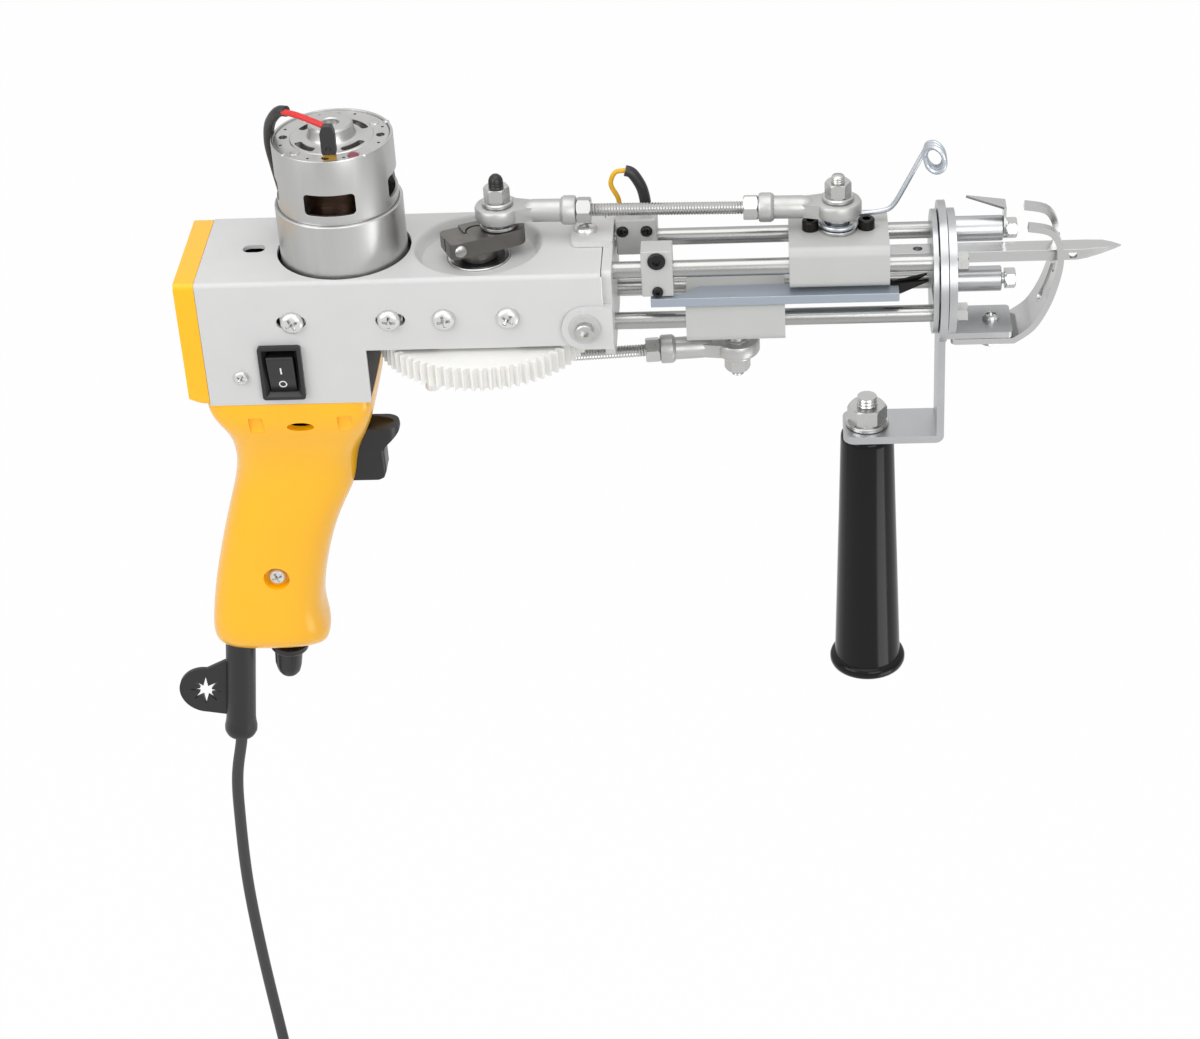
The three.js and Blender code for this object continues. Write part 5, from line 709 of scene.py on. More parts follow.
grip = grip_loft(GRIP_SECTIONS)
inside = [(-0.03, *GRIP_SECTIONS[0][1:])] + GRIP_SECTIONS[2:-5:2]
grip = cut(grip, grip_loft(inside, inset=2.4, sides=24, levels=1))
print("grip loft with", len(grip.faces), "faces")

# %% [markdown]
# ### What is let into the grip
# Each cheek has two small square pockets under the body and an oval opening between them, a sunk
# screw holds the shells together, and the trigger, the sleeve and the knob have their own openings.

# %% Openings and the parting line
def lean_at(x):
    """The frame of what leaves the grip's end at x, leaning back with it."""
    return shift(x, 0, GRIP_END) @ turned(LEAN, "Y")


SLEEVE_AT, KNOB_AT, GRIP_SCREW = lean_at(-57.4), lean_at(-38.4), (-36.7, -129.6)
grip = cut(grip, block((-11.4, 15.6), (-5.9, 5.9), (-94, -71.5)), placed(drum("z", (-4, 9), 5.95), SLEEVE_AT),
           placed(drum("z", (-4, 9), 3.3), KNOB_AT))
for x in (-34.6, -2.9):
    pocket = prism("y", rect(x - 2.6, x + 2.6, -61.4, -54.4), (-26, -22.9), [(0.5, ALL_FOUR)])
    grip = cut(grip, *on_both_sides(pocket))
grip = cut(grip, *on_both_sides(egg((4.88, 4.8, 2), (-19, -23.6, -58.9))))
SEAT_Y = 3.4 - GRIP_WIDE * 0.328
SCREW_AXIS = (GRIP_SCREW[0], 0, GRIP_SCREW[1])
sink = [(0, SEAT_Y - 0.1), (4.6, SEAT_Y - 0.1), (4.8, SEAT_Y - 3), (5.6, -18.6), (5.6, -26), (0, -26)]
near_half = common(grip.copy(), block((-150, 60), (-40, -0.06), (-190, -40)))
far_half = common(grip, block((-150, 60), (0.06, 40), (-190, -40)))
near_half = joined(near_half, spun(rect(0, 6.6, -0.05, -15.2), SCREW_AXIS, "y"))
near_half = cut(near_half, spun(sink, SCREW_AXIS, "y"))
for side, half_shell in (("near", near_half), ("far", far_half)):
    piece("grip_" + side, half_shell, yellow_abs, f"grip_{side}_shell", edge=0.35, segments=3, sharp=40)

# %% Grip screw
head = facing(pan_head(3.4, 2.2), (GRIP_SCREW[0], SEAT_Y - 0.2, GRIP_SCREW[1]), NEAR, 0.4)
shank = facing(threaded(1.6, 14, 1.2), (GRIP_SCREW[0], SEAT_Y + 13.8, GRIP_SCREW[1]), NEAR)
piece("grip_fixing", together(head, shank), screw_zinc, "grip_screw", edge=0.1)

# %% [markdown]
# ## Trigger
# The trigger is a flat black block whose top grows into a round lip with a spoon-like hollow for
# the finger. Its side view is drawn first and crossed with a plan, round at the lip and nearly
# square lower down, which leaves both outlines true.

# %% Trigger
TRIGGER_TOP, LIP_FRONT, TRIGGER_HALF, LOW = -71.9, 12.9, 5.5, (-95, -80.9)
lip_line = [(6.9, -81.2), (7.6, -79.4), (10.2, -77), (12.3, -75), (LIP_FRONT, -73.4), (12.2, -72)]
lip_line = [(p.x, p.z) for p in smooth_line([(x, 0, z) for x, z in lip_line], 5)]
outline = [(-9, -93.6), (3.8, -93.6), (5.9, -92.7), (6.8, -90.6)] + lip_line + [(-9, TRIGGER_TOP)]
side_view = prism("y", outline, (-TRIGGER_HALF, TRIGGER_HALF))
wide = rect(-10, LIP_FRONT, -TRIGGER_HALF, TRIGGER_HALF)
narrow = rect(-10, 6.8, -TRIGGER_HALF, TRIGGER_HALF)
lip_plan = prism("z", wide, (-81, -70), [(5.3, [1, 2])], 10)
low_plan = common(prism("z", wide, LOW), prism("z", narrow, LOW, [(1.6, [1, 2])]))
lever = cut(common(side_view, joined(lip_plan, low_plan)), egg((13.4, 4.7, 2.3), (-1.9, 0, TRIGGER_TOP + 0.5)))
piece("trigger_lever", lever, satin_black_abs, "trigger", "trigger", 0.45, 4, 28)

# %% [markdown]
# ## Sleeve, tag and knob
# A soft black sleeve guards the cord where it leaves the grip, with a round hanging tag moulded to
# its side. Beside it stands the speed knob, a tapered cap on a thin collar with a pointer ridge.

# %% Sleeve with its tag
sleeve = spun([(0, 4.5), (6.4, 4.5), (6.4, 1.6), (5.75, 1.4), (5.75, -37), (5.95, -39.4), (6.35, -41.6),
               (6.3, -43.4), (5.6, -44.9), (4.2, -45.5), (0, -45.5)], steps=56)
TAG_X, TAG_Z, TAG_SPAN = -13.6, -25.6, (-0.8, 0.8)
tag = drum("y", TAG_SPAN, 10.3, (TAG_X, 0, TAG_Z), steps=72)
tag = joined(tag, prism("y", [(-2.9, -8.5), (-13.2, -15.25), (-13.2, -35.9), (-2.9, -36.5)], TAG_SPAN))
star = [Vector((TAG_X, TAG_Z)) + Vector(on_circle(2.4 if i % 2 else 6.4, i * pi / 8)) for i in range(16)]
sleeve = joined(sleeve, cut(tag, prism("y", star, (-4, 4))))
piece("cord_sleeve", placed(sleeve, SLEEVE_AT), satin_black_abs, "strain_relief", edge=0.4, segments=3, sharp=30)

# %% Speed knob
knob = spun([(0, 9), (3, 9), (3, -1.2), (7.3, -1.2), (7.3, -3.2), (6.9, -3.8), (5.4, -4), (5.1, -5), (4.7, -12),
             (4.2, -14.6), (3.2, -16), (0, -16.4)], steps=56)
ridge = [(-5.75, -3.6), (-5.3, -11.5), (-4.2, -15), (0, -15.6), (0, -3.6)]
knob = joined(knob, prism("y", ridge, (-0.75, 0.75)))
for side in (-1, 1):
    flank = [(1.2, side * 4.3), (8, side * 3), (8, side * 9), (1.2, side * 9)]
    knob = cut(knob, prism("z", flank, (-18, -4.4)))
piece("knob", placed(knob, KNOB_AT), satin_black_abs, "speed_knob", "speed_knob", 0.35, 3, 30)

# %% [markdown]
# ## Motor
# The motor is the common can type of 42 mm: a deep-drawn steel can, a second steel ring round its
# lower half that carries the magnetic field, and a cap staked in at the top. The can's four
# cooling windows show the wound rotor. Cans and caps are spun profiles with soft rims, and the
# windows are cut with rounded corners, as a punch leaves them.

# %% Can and ring
can = spun([(2.8, -22.3), (2.8, -25.9), (8, -25.9), (8.6, -25.3), (8.6, -23.3), (19.6, -23.3), (20.6, -22.9),
            (21, -21.9), (21, 43), (20.85, 43.4), (20.15, 43.4), (20, 43), (20, -22.3)], steps=128)
for turn in (0, pi / 2):
    window = prism("y", rect(-8.8, 8.8, 22.8, 30.6), (-24, 24), [(1.5, ALL_FOUR)])
    can = cut(can, placed(window, turned(turn)))
piece("can", can, drawn_steel, "motor_can", edge=0.12)
piece("magnets", spun(rect(17.4, 19.95, -22, 20), steps=96), black_oxide, edge=0.2)
ring = spun([(21.15, -8), (22.1, -8), (22.3, -7.8), (22.3, 18.9), (22, 19.2), (21.15, 19.2)], steps=128)
piece("field_ring", cut(ring, block((-0.12, 0.12), (20, 24), (-9, 21))), drawn_steel, "motor_flux_ring", edge=0.1)

# %% [markdown]
# The cap is stamped: a bearing cup stands in its middle, four curved vents lie round it, and small
# holes and rivet spots are spread near the rim. A drop of maroon lacquer seals one screw, so that
# nobody turns it after the motor's timing is set.

# %% Motor cap
TOP = 42.9
CAP_RISES = [(0, -1.4), (6.4, -1.4), (6.4, -2.2), (19.9, -2.2), (19.9, -0.3), (19.6, 0), (14.6, 0), (14.2, 0.25),
             (9.6, 0.35), (8.5, 0.9), (8, 2), (7.7, 4.6), (7.1, 5.3), (6.2, 5.4), (3.4, 5.4), (3, 5), (3, 3.4),
             (0, 3.4)]
through = (TOP - 4, TOP + 2)
vents = []
for middle in range(45, 405, 90):
    angles = [radians(middle - 22 + i * 4.4) for i in range(11)]
    bean = [on_circle(13.4, a) for a in angles] + [on_circle(10.7, a) for a in reversed(angles)]
    vents.append(prism("z", bean, through, [(1, [0, 10, 11, 21])], 4))
for radius, away, steps, middles in ((1.5, 16.8, 24, (0, 90, 180, 270)),
                                     (0.55, 17.9, 12, (20, 70, 110, 160, 200, 250, 290, 340))):
    vents += [drum("z", through, radius, (*on_circle(away, radians(a)), 0), steps=steps) for a in middles]
cap = spun([(radius, TOP + rise) for radius, rise in CAP_RISES], steps=128)
piece("motor_cap", cut(cap, *vents), drawn_steel, "motor_end_cap", edge=0.15)


def dab(profile, place, steps=28):
    """A small turned spot on the cap."""
    return facing(spun(profile, steps=steps), place)


spot, stake = ([(0, -0.2), (1.9, -0.2), (1.71, 0.25), (0.95, 0.4), (0, 0.4)],
               [(0, -0.5), (1.1, -0.5), (1.1, 0), (0.5, 0.35), (0, 0.4)])
spots = [dab(spot, (*on_circle(16.6, radians(a)), TOP)) for a in (-55, 228, 35, 128)]
stakes = [dab(stake, (*on_circle(20.3, a), 43.2), 20) for a in (0.5, 2.2, 3.9, 5.4)]
piece("cap_rivets", together(*spots, *stakes), drawn_steel, edge=0.1)
drop = dab([(0, -0.2), (2.1, -0.2), (1.9, 0.3), (1.1, 0.7), (0, 0.8)], (9.2, -15.2, TOP))
piece("lacquer_spot", drop, sealing_lacquer)

# %% [markdown]
# Inside turns the rotor: a stack of steel laminations with a copper winding at each end, the
# commutator and, on the long shaft below, the steel pinion that drives the gear. Both gears have
# involute teeth of module 1, thinned a little so that they run with play.

# %% Rotor
slots = [placed(block((-1.1, 1.1), (12.5, 18), (-11, 18)), turned(i * pi / 4)) for i in range(8)]
piece("rotor_core", cut(drum("z", (-10, 17), 16.2), *slots), drawn_steel, body="rotor", edge=0.1)
upper_coil = [(4, 17.1), (12, 17.1), (13.2, 18.2), (13.4, 21), (13.1, 25), (12, 27), (9.5, 28.6), (7.9, 29.4),
              (4, 29.6)]
lower_coil = [(4, -10.1), (12, -10.1), (13.2, -11.4), (13.1, -14), (11.8, -15.6), (8, -16), (4, -16)]
piece("rotor_winding", together(spun(upper_coil), spun(lower_coil)), enamelled_copper, body="rotor")
gaps = [placed(block((-0.25, 0.25), (7, 9), (30.4, 38)), turned(i * pi / 6)) for i in range(12)]
commutator = cut(drum("z", (29.7, 36.6), 7.8, edge=0.4, steps=36), *gaps)
piece("commutator", commutator, brass, body="rotor", edge=0.08)


def gear(teeth, span, thinning=0.3):
    """An involute gear of module 1, six corners to a tooth."""
    pitch, flat = teeth / 2, radians(20)
    root, base = pitch - 1.3, pitch * cos(flat)
    corners = []
    for i in range(teeth):
        for radius, side in ((root, -1), (pitch, -1), (pitch + 1, -1), (pitch + 1, 1), (pitch, 1), (root, 1)):
            contact = base / radius if radius > base else 1
            sine = (1 - contact**2) ** 0.5
            half = (pi / 2 - thinning) / teeth + tan(flat) - flat - (sine / contact - atan2(sine, contact))
            corners.append(on_circle(radius, 2 * pi * (i + 0.5) / teeth + side * half))
    return prism("z", corners, span)


spindle = together(drum("z", (-37.5, 44.7), 2.5, edge=0.3, steps=32), gear(20, (-37.4, -29.4)))
piece("rotor_shaft", spindle, bright_zinc, "motor_rotor_with_pinion", "rotor", 0.08)

# %% [markdown]
# ## Motor leads
# One terminal stands at the near side under a black flag with a brass tongue, and a red wire runs
# from it across the cap. The other lead runs in a black sleeve down the can's rear side and into
# the body through its own hole.

# %% Leads
flag = prism("y", [(-1, 44.6), (4, 44.6), (4, 52.6), (3.2, 55), (0, 55), (-1, 52.6)], (-18.2, -15.2),
             [(0.7, range(6))], 4)
dimple = facing(spun(rect(0.55, 1, -1, 0.35), steps=32), (1.5, -18.2, 46.6), (0, 1, 0))
piece("terminal_flag", cut(flag, dimple), black_pvc, edge=0.35, segments=3)
piece("terminal", block((-0.8, 3.8), (-17.4, -16.2), (TOP - 1.5, 45)), brass, edge=0.12)
red_path = [(2.2, -16.4, 52.8), (0, -15, 54), (-4.6, -11.8, 54.6), (-9.6, -8.4, 55), (-14, -5.4, 54.8),
            (-16.4, -3.8, 54.4)]
piece("red_lead", wire(smooth_line(red_path), 1.1), red_pvc, "motor_lead_red", sharp=60)
RING_RADIUS, SLEEVE_RADIUS, CLEARANCE = 22.3, 1.9, 0.45
hug = RING_RADIUS + SLEEVE_RADIUS + CLEARANCE
black_path = [(-13.6, -4.6, 54.8), (-17, -2.4, 53.6), (-hug * 0.86, 2.6, 47), (-hug * 0.93, 6.4, 38),
              (-hug * 0.91, 9.2, 28), (-hug * 0.88, 12.8, 17), (-21.4, 16.2, 8.4), (-21, 17.6, 1.6),
              (-21, 17.6, -5.6)]
piece("black_lead", wire(smooth_line(black_path), SLEEVE_RADIUS), black_pvc, "motor_lead_black", sharp=60)

# %% [markdown]
# ## Saddle and nylon block
# Two parts fill the body: a steel saddle whose floor carries the motor, and a white nylon block
# that holds the two ball bearings of the crank. They are seen through the gaps and from below.

# %% Saddle
saddle = block((-21.5, 21.5), (-23.4, 23.4), (-26.45, -23.45))
ears = [block((-21.5, 21.5), (side * 23.4, side * 21.4), (-26.45, -10.4)) for side in (-1, 1)]
bores = [drum("y", (-30, 30), 1.6, (x, 0, SADDLE_Z), steps=24) for x in SADDLE_SCREWS]
saddle = cut(joined(saddle, *ears), drum("z", (-30, -20), 9.2), *bores)
piece("saddle", saddle, bright_zinc, "motor_mount", edge=0.4, segments=3)

# %% Nylon block
SEATS = ((-11.65, 0), 11.1), ((-30, -21.6), 11.1), ((-30, 0), 7)
bores = [drum("z", span, radius, CRANK) for span, radius in SEATS]
bores += [drum("y", (side * 30, side * 14), 1.5, (x, 0, BLOCK_Z), steps=24) for side in (-1, 1) for x in BLOCK_SCREWS]
nylon_block = cut(block((CRANK_X - 14, CRANK_X + 14), (-23.4, 23.4), (-28.6, -6.65)), *bores)
piece("nylon_block", nylon_block, white_nylon, "bearing_block", edge=0.6, segments=3)

# %% [markdown]
# ## Crank
# The gear's shaft turns in two 22 mm ball bearings. Each is two ground rings with a dark rubber
# shield between them, so it reads as bright, dark, bright. On the shaft's upper end sits the
# burnished steel arm, split behind so that a screw can pinch it tight.

# %% Bearings
for name, top in (("upper_bearing", -4.5), ("lower_bearing", -21.6)):
    race = [(9.4, top - 7), (10.7, top - 7), (11, top - 6.7), (11, top - 0.3), (10.7, top), (9.4, top)]
    hub = [(4.1, top - 7), (5.8, top - 7), (5.8, top), (4.4, top), (4.1, top - 0.3)]
    shield = [(5.9, top - 6.6), (9.35, top - 6.6), (9.35, top - 0.5), (8.6, top - 0.7), (6.6, top - 0.7),
              (5.9, top - 0.5)]
    rings = together(spun(race, CRANK, steps=96), spun(hub, CRANK))
    piece(name + "_rings", rings, bright_chrome, name, edge=0.1)
    piece(name + "_shield", spun(shield, CRANK, steps=96), satin_black_abs)

# %% Shaft and gear
shaft = [(0, -37.35), (4, -37.35), (4, -5), (6.6, -4.35), (6.6, -1), (4, -1), (4, 4.5), (3.6, 4.9), (0, 4.9)]
shaft = together(spun(shaft, CRANK), spun(rect(4.1, 6, -29.2, -28.75), CRANK, steps=48))
piece("shaft", shaft, burnished_steel, "crank_shaft", "crank", 0.1)
GEAR_FACES = (-37.5, -29.3)
wheel = placed(gear(74, GEAR_FACES), shift(*CRANK) @ turned(pi / 74))
wheel = cut(wheel, spun([(9, -35.5), (31.5, -35.5), (33, -36.1), (33, -40), (9, -40)], CRANK, steps=96))
wheel = joined(wheel, drum("z", GEAR_FACES, 5.5, LOWER_PIN))
wheel = cut(wheel, drum("z", (-40, -20), 2.55, LOWER_PIN, steps=32), drum("z", (-40, -20), 4.05, CRANK))
piece("gear", wheel, white_nylon, "main_gear", "crank", 0.15)

# %% Crank arm
PINCH = (-8.6, 0, 2.2)
arm = prism("z", rect(-12, 16.6, -6.8, 6.8), (-0.8, 5.2), [(2, [0, 3]), (4.5, [1, 2])])
arm = cut(arm, drum("z", (-3, 8), 4.08), block((-15, 0), (-0.5, 0.5), (-3, 8)),
          block((-15, -4.6), (0.5, 8), (4.4, 8)), drum("y", (-10, 10), 1.8, PINCH, steps=32))
swing = shift(*CRANK) @ turned(CRANK_ANGLE)
piece("arm", placed(arm, swing), burnished_steel, "crank_arm", "crank", 0.4, 3)
head = [(0, 0), (2.2, 0), (2.2, 0.5), (1.9, 0.9), (1.1, 1.15), (0, 1.2)]
screw = together(facing(spun(head, steps=40), (PINCH[0], -6.75, PINCH[2]), NEAR),
                 drum("y", (-6.9, 6.2), 1.75, PINCH, steps=32))
piece("pinch_screw", placed(screw, swing), bright_zinc, body="crank")

# %% [markdown]
# ## Rods
# Each crank pulls its slider by a pair of ball-jointed rod ends on a threaded tie rod, locked by
# two jam nuts. A rod end is a cast ring blending into a round shank, with a polished ball inside.
# The ring is spun, the shank joined to it, and the seam softened by the bevel.

# %% Rod ends, tie rods and studs
COLLAR, NUT = 27.55, 5


def rod_end():
    """A cast rod end with its ring at the origin and its shank along X."""
    eye = spun([(4.97, -2.8), (6.9, -2.8), (7.7, -2.4), (8.1, -1.6), (8.1, 1.6), (7.7, 2.4), (6.9, 2.8),
                (4.97, 2.8), (6, 0)])
    web = prism("z", [(5.9, -4.9), (12.2, -3.4), (12.2, 3.4), (5.9, 4.9)], (-2.5, 2.5))
    shank = spun([(0, 9), (2.9, 9), (3.7, 10.6), (4, 12.4), (4, 21.9), (4.6, 22.3), (5.1, 23.1), (5.1, 26.6),
                  (4.8, 27.2), (4.2, 27.4), (0, 27.4)], axis="x", steps=48)
    return joined(eye, web, shank)


def stud(foot):
    """The washer and collar of a stud with its ball at the origin, and its neck with the ball."""
    base = spun([(0, foot), (6.5, foot), (6.7, foot + 0.2), (6.7, foot + 1), (6.5, foot + 1.2), (0, foot + 1.2)],
                steps=56)
    neck = spun([(0, foot + 1.1), (4.2, foot + 1.1), (4.2, -3.4), (4.9, -2.8), (5.45, -1.6), (5.7, 0), (5.45, 1.6),
                 (4.9, 2.8), (4.4, 3.2), (0, 3.2)], steps=56)
    return base, spun([(0, 3.1), (5.5, 3.1), (5.5, 4.1), (5.1, 4.5), (0, 4.5)], steps=56), neck


def stud_end(place):
    """What stands on a stud: a nut, and a threaded tip, a soft black cap or a small nylon one."""
    if place == "lower_crank":
        tip = spun([(0, 0), (2.6, 0), (2.6, 2.4), (2.2, 3.1), (0, 3.3)], steps=32)
        return placed(hex_nut(5, 2.6), shift(0, 0, 4.3)), placed(tip, shift(0, 0, 6.8))
    crown = [(0, -1), (6.2, -1), (4.7, 0.5), (4.7, 4.5), (4.05, 5.25), (0, 5.25)]
    nut = placed(common(hex_nut(8, 5.2), spun(crown, steps=48)), shift(0, 0, 4.4))
    if place == "upper_crank":
        return nut, spun([(0, 9), (2.6, 9), (2.6, 10), (2.4, 10.2), (2.6, 10.4), (2.6, 11), (2.4, 11.2), (2.6, 11.4),
                          (2.5, 12.2), (2.1, 13.1), (1.3, 13.9), (0, 14.2)], steps=40)
    tip = placed(threaded(2.35, 3.2, 0.8, 0.25), shift(0, 0, 8.9))
    return nut, common(tip, spun([(0, 8), (3, 8), (3, 10.6), (2, 11.8), (0, 12.1)], steps=32))


# %% The two rods on their sliders and cranks
TIPS = {"upper_crank": satin_black_abs, "lower_crank": white_nylon}
for level, slider_x, pin, length, foot, seat, carriage, flip in (
        ("upper", UPPER_X, UPPER_PIN, UPPER_ROD, -5.2, -8.35, "needle_carriage", Matrix.Identity(4)),
        ("lower", LOWER_X, LOWER_PIN, LOWER_ROD, -5.3, -9.55, "cutter_carriage", turned(pi, "X"))):
    at_slider = shift(slider_x, 0, pin.z) @ turned(asin(-pin.y / length))
    at_crank, backwards, on_rod = at_slider @ shift(-length, 0, 0), at_slider @ turned(pi), level + "_rod"
    for end, where in (("front", backwards), ("rear", at_crank)):
        piece(f"{level}_end_{end}", placed(rod_end(), where), satin_nickel, f"{level}_rod_end_{end}", on_rod, 0.3, 3)
    thread = facing(threaded(2.3, length - 2 * COLLAR, 1.0, 0.3), (COLLAR, 0, 0), AHEAD)
    nuts = [facing(hex_nut(8, NUT), (x, 0, 0), AHEAD, twist)
            for x, twist in ((COLLAR, 0.35), (length - COLLAR - NUT, 0.2))]
    piece(level + "_tie", placed(thread, backwards), bright_zinc, level + "_tie_rod", on_rod)
    piece(level + "_jam_nuts", placed(together(*nuts), backwards), bright_zinc, body=on_rod, edge=0.12)
    for end, base, where, body, node_name in (("crank", foot, at_crank, on_rod, "crank_pin"),
                                              ("slider", seat, at_slider, carriage, "slider_stud")):
        place = f"{level}_{end}"
        washer_part, collar_part, neck_part = stud(base)
        nut_part, tip_part = stud_end(place)
        stack = placed(together(washer_part, collar_part, nut_part), where @ flip)
        nut_finish = white_nylon if place == "lower_crank" else bright_zinc
        piece(place + "_stud", stack, nut_finish, f"{level}_{node_name}", body, 0.15)
        piece(place + "_ball", placed(neck_part, where @ flip), bright_chrome, body=body)
        piece(place + "_tip", placed(tip_part, where @ flip), TIPS.get(place, bright_zinc), body=body, sharp=50)

# %% [markdown]
# ## Sliders on their rods
# Four ground steel rods carry two cast aluminium sliders, painted satin grey. Each slider is a
# rounded bar of its section with the holes bored through. The upper one grips the needle by two
# black cap screws, the lower one pushes the cutter.

# %% Guide rods
ROD_REAR, ROD_FRONT = 92.4, 212.4
BORES = [(0, y, z) for y in (-ROD_Y, ROD_Y) for z in (UPPER_Z, LOWER_Z)]
for at, (side, level) in zip(BORES, [(side, level) for side in ("near", "far") for level in ("upper", "lower")]):
    name = f"guide_rod_{side}_{level}"
    if side == "near":
        bolt = together(facing(hex_nut(6.2, 3.9), (ROD_FRONT + 0.25, *at[1:]), AHEAD, 0.3),
                        drum("x", (ROD_FRONT - 4, ROD_FRONT + 0.6), 1.9, at))
        piece(name + "_bolt", bolt, bright_zinc, edge=0.2)
    else:
        spacer = spun([(2.1, 212.65), (4.2, 212.65), (4.5, 212.95), (4.5, 229.55), (4.2, 229.85), (2.1, 229.85)],
                      at, "x", 48)
        piece(name + "_spacer", together(spacer, drum("x", (ROD_FRONT - 4, 234), 2, at)), satin_chrome)
        bolt = together(facing(hex_nut(6.4, 3.4), (231.4, *at[1:]), AHEAD, 0.2), drum("x", (230.95, 231.5), 3.7, at))
        piece(name + "_bolt", bolt, bright_zinc, edge=0.15)
    piece(name, drum("x", (ROD_REAR, ROD_FRONT), 3, at, 0.3), ground_chrome, name)


# %% Sliders
def slider(x, z):
    bar = prism("x", rect(-15.7, 15.7, z - 7.8, z + 7.8), (x - 17.2, x + 17.2), [(3.4, ALL_FOUR)], 8)
    return cut(bar, *[drum("x", (x - 20, x + 20), 3.25, (0, y, z)) for y in (-ROD_Y, ROD_Y)])


CAP_SCREWS_X = (162.76, 182.06)
bar = cut(slider(UPPER_X, UPPER_Z), block((150, 195), (-3.65, 3.65), (-10.85, -6.45)),
          *[drum("z", (-6.6, 5), 1.6, (x, 0, 0), steps=24) for x in CAP_SCREWS_X])
piece("needle_slider_block", bar, slider_coat, "needle_slider", "needle_carriage", 0.9, 4)
for number, x in enumerate(CAP_SCREWS_X, 1):
    head = together(socket_cap(2.9, 3.6, 1.35), drum("z", (-8, 0.2), 1.5, steps=24))
    head = facing(head, (x, 0, 2.2), twist=0.3)
    piece(f"needle_cap_screw_{number}", head, black_oxide, body="needle_carriage", edge=0.15)
piece("cutter_slider_block", slider(LOWER_X, LOWER_Z), slider_coat, "cutter_slider", "cutter_carriage", 0.9, 4)

# %% [markdown]
# The needle is hollow ground: a flat bar with a deep yarn channel on its under side, a cross eye
# and a slanted point. It is cut from a bar in two views, first its plan, then its side.

# %% Needle
plan = [(168, -3.5), (257.3, -3.5), (264.5, -1.9), (269.7, -0.15), (269.7, 0.15), (263.5, 3.15), (258.3, 3.5),
        (168, 3.5)]
side_view = [(168, -10.7), (254.2, -10.7), (261.4, -9.5), (269.9, -7.5), (269.9, -7.1), (266.6, -6.6), (168, -6.6)]
needle = common(prism("z", plan, (-12, -5)), prism("y", side_view, (-5, 5)))
needle = cut(needle, prism("z", rect(216, 258, -1.6, 1.6), (-13, -8.3), [(1.5, ALL_FOUR)]),
             drum("y", (-6, 6), 1.5, (253, 0, -8.7), steps=32), drum("z", (-13, -5), 1.6, (199.8, 0, 0), steps=32))
piece("needle_bar", needle, bright_chrome, "needle", "needle_carriage", 0.35, 3)

# %% [markdown]
# The yarn guide is one bent wire. It rings the slider's stud, runs forward over the slider, climbs
# and ends in three open turns that the yarn is threaded through.

# %% Yarn guide
GUIDE_X, GUIDE_Y, COIL_R = 172.41, 5.4, 4.3
path = [(GUIDE_X + x, y, 4.55) for x, y in (on_circle(5.6, radians(a)) for a in range(330, 60, -30))]
for reach, rise in ((0.2, 0), (0.36, 0.02), (0.5, 0.06), (0.57, 0.15), (0.63, 0.3), (0.71, 0.53), (0.79, 0.76)):
    path.append((GUIDE_X + 34 * reach, GUIDE_Y, 4.75 + 23.5 * rise))
for i in range(25):
    turn = radians(180 - 45 * i)
    out = COIL_R * (cos(turn) + 1)
    path.append((202.11 + 0.74 * out, GUIDE_Y - 0.55 * out - 0.24 * i, 28.25 + COIL_R * sin(turn)))
piece("yarn_guide_wire", wire(smooth_line(path, 5), 0.9), spring_wire, "yarn_guide", "needle_carriage")

# %% Push bar and blades
PIN_AT = shift(190, -9.3, -16)
bar_plan = [(107.2, -17.4), (192.8, -17.4), (192.8, -11.3), (186.6, -11.3), (186, -8.4), (124, -8.4), (118, -13.8),
            (107.2, -13.8)]
BLADE = [(188.3, -17.7), (193.4, -17.7), (203.2, -13.1), (202.6, -12.9), (190, -14.3), (188.3, -15)]
piece("push_bar_strip", prism("z", bar_plan, (-17.65, -14.35)), blue_zinc, "push_bar", "cutter_carriage", 0.25)
piece("fixed_blade", prism("y", BLADE, (-11.9, -10.1)), black_oxide, body="cutter_carriage", edge=0.15)
blade = together(prism("y", BLADE, (-9.85, -8.65)), drum("y", (-8.7, -8.2), 2.1, (190, 0, -16), steps=32))
blade = placed(blade, PIN_AT @ turned(radians(-7), "Y") @ PIN_AT.inverted())
piece("swinging_blade_plate", blade, black_oxide, "swinging_blade", "swinging_blade", 0.15)

# %% [markdown]
# ## Nose bracket
# A pressed steel bracket closes the body's front end: a tall flange that the four rods are set in,
# a tab folded back over the top and two round ears on the sides, one screw in each.

# %% Nose bracket
FLANGE, EAR_X, EAR_Z, EAR_BOLT_Z = (91, 94.3), 84.6, (-28, -12), -19.8
flange = prism("x", rect(-23.2, 23.2, -35.4, -0.15), FLANGE, [(7, [0, 1]), (2.5, [2, 3])], 8)
for side in (-1, 1):
    for z in (UPPER_Z, LOWER_Z):
        flange = cut(flange, drum("x", (88, 97), 3.1, (0, side * ROD_Y, z)))
    across = (side * 25.25, side * 27.25)
    ear = joined(block((EAR_X, 94.3), across, EAR_Z), drum("y", across, 8, (EAR_X, 0, -20)),
                 block(FLANGE, (side * 22.4, side * 27.25), EAR_Z))
    flange = joined(flange, cut(ear, drum("y", (-40, 40), 2.1, (EAR_X, 0, EAR_BOLT_Z), steps=32)))
top = joined(prism("z", rect(79.8, 94.3, -5.2, 12.2), (0.15, 2.3), [(2.4, [0, 3])]),
             block(FLANGE, (-5.2, 12.2), (-7, 2.3)))
flange = cut(joined(flange, top), drum("z", (-1, 4), 2, (84.8, 3.6, 0), steps=32))
piece("nose_plate", flange, powder_coat, "nose_bracket", edge=0.6, segments=3)
screw = together(facing(pan_head(4, 2.2), (84.8, 3.6, 2.3), twist=0.4),
                 drum("z", (-3, 2.5), 1.8, (84.8, 3.6, 0), steps=32))
piece("nose_top_screw", screw, screw_zinc, edge=0.08)
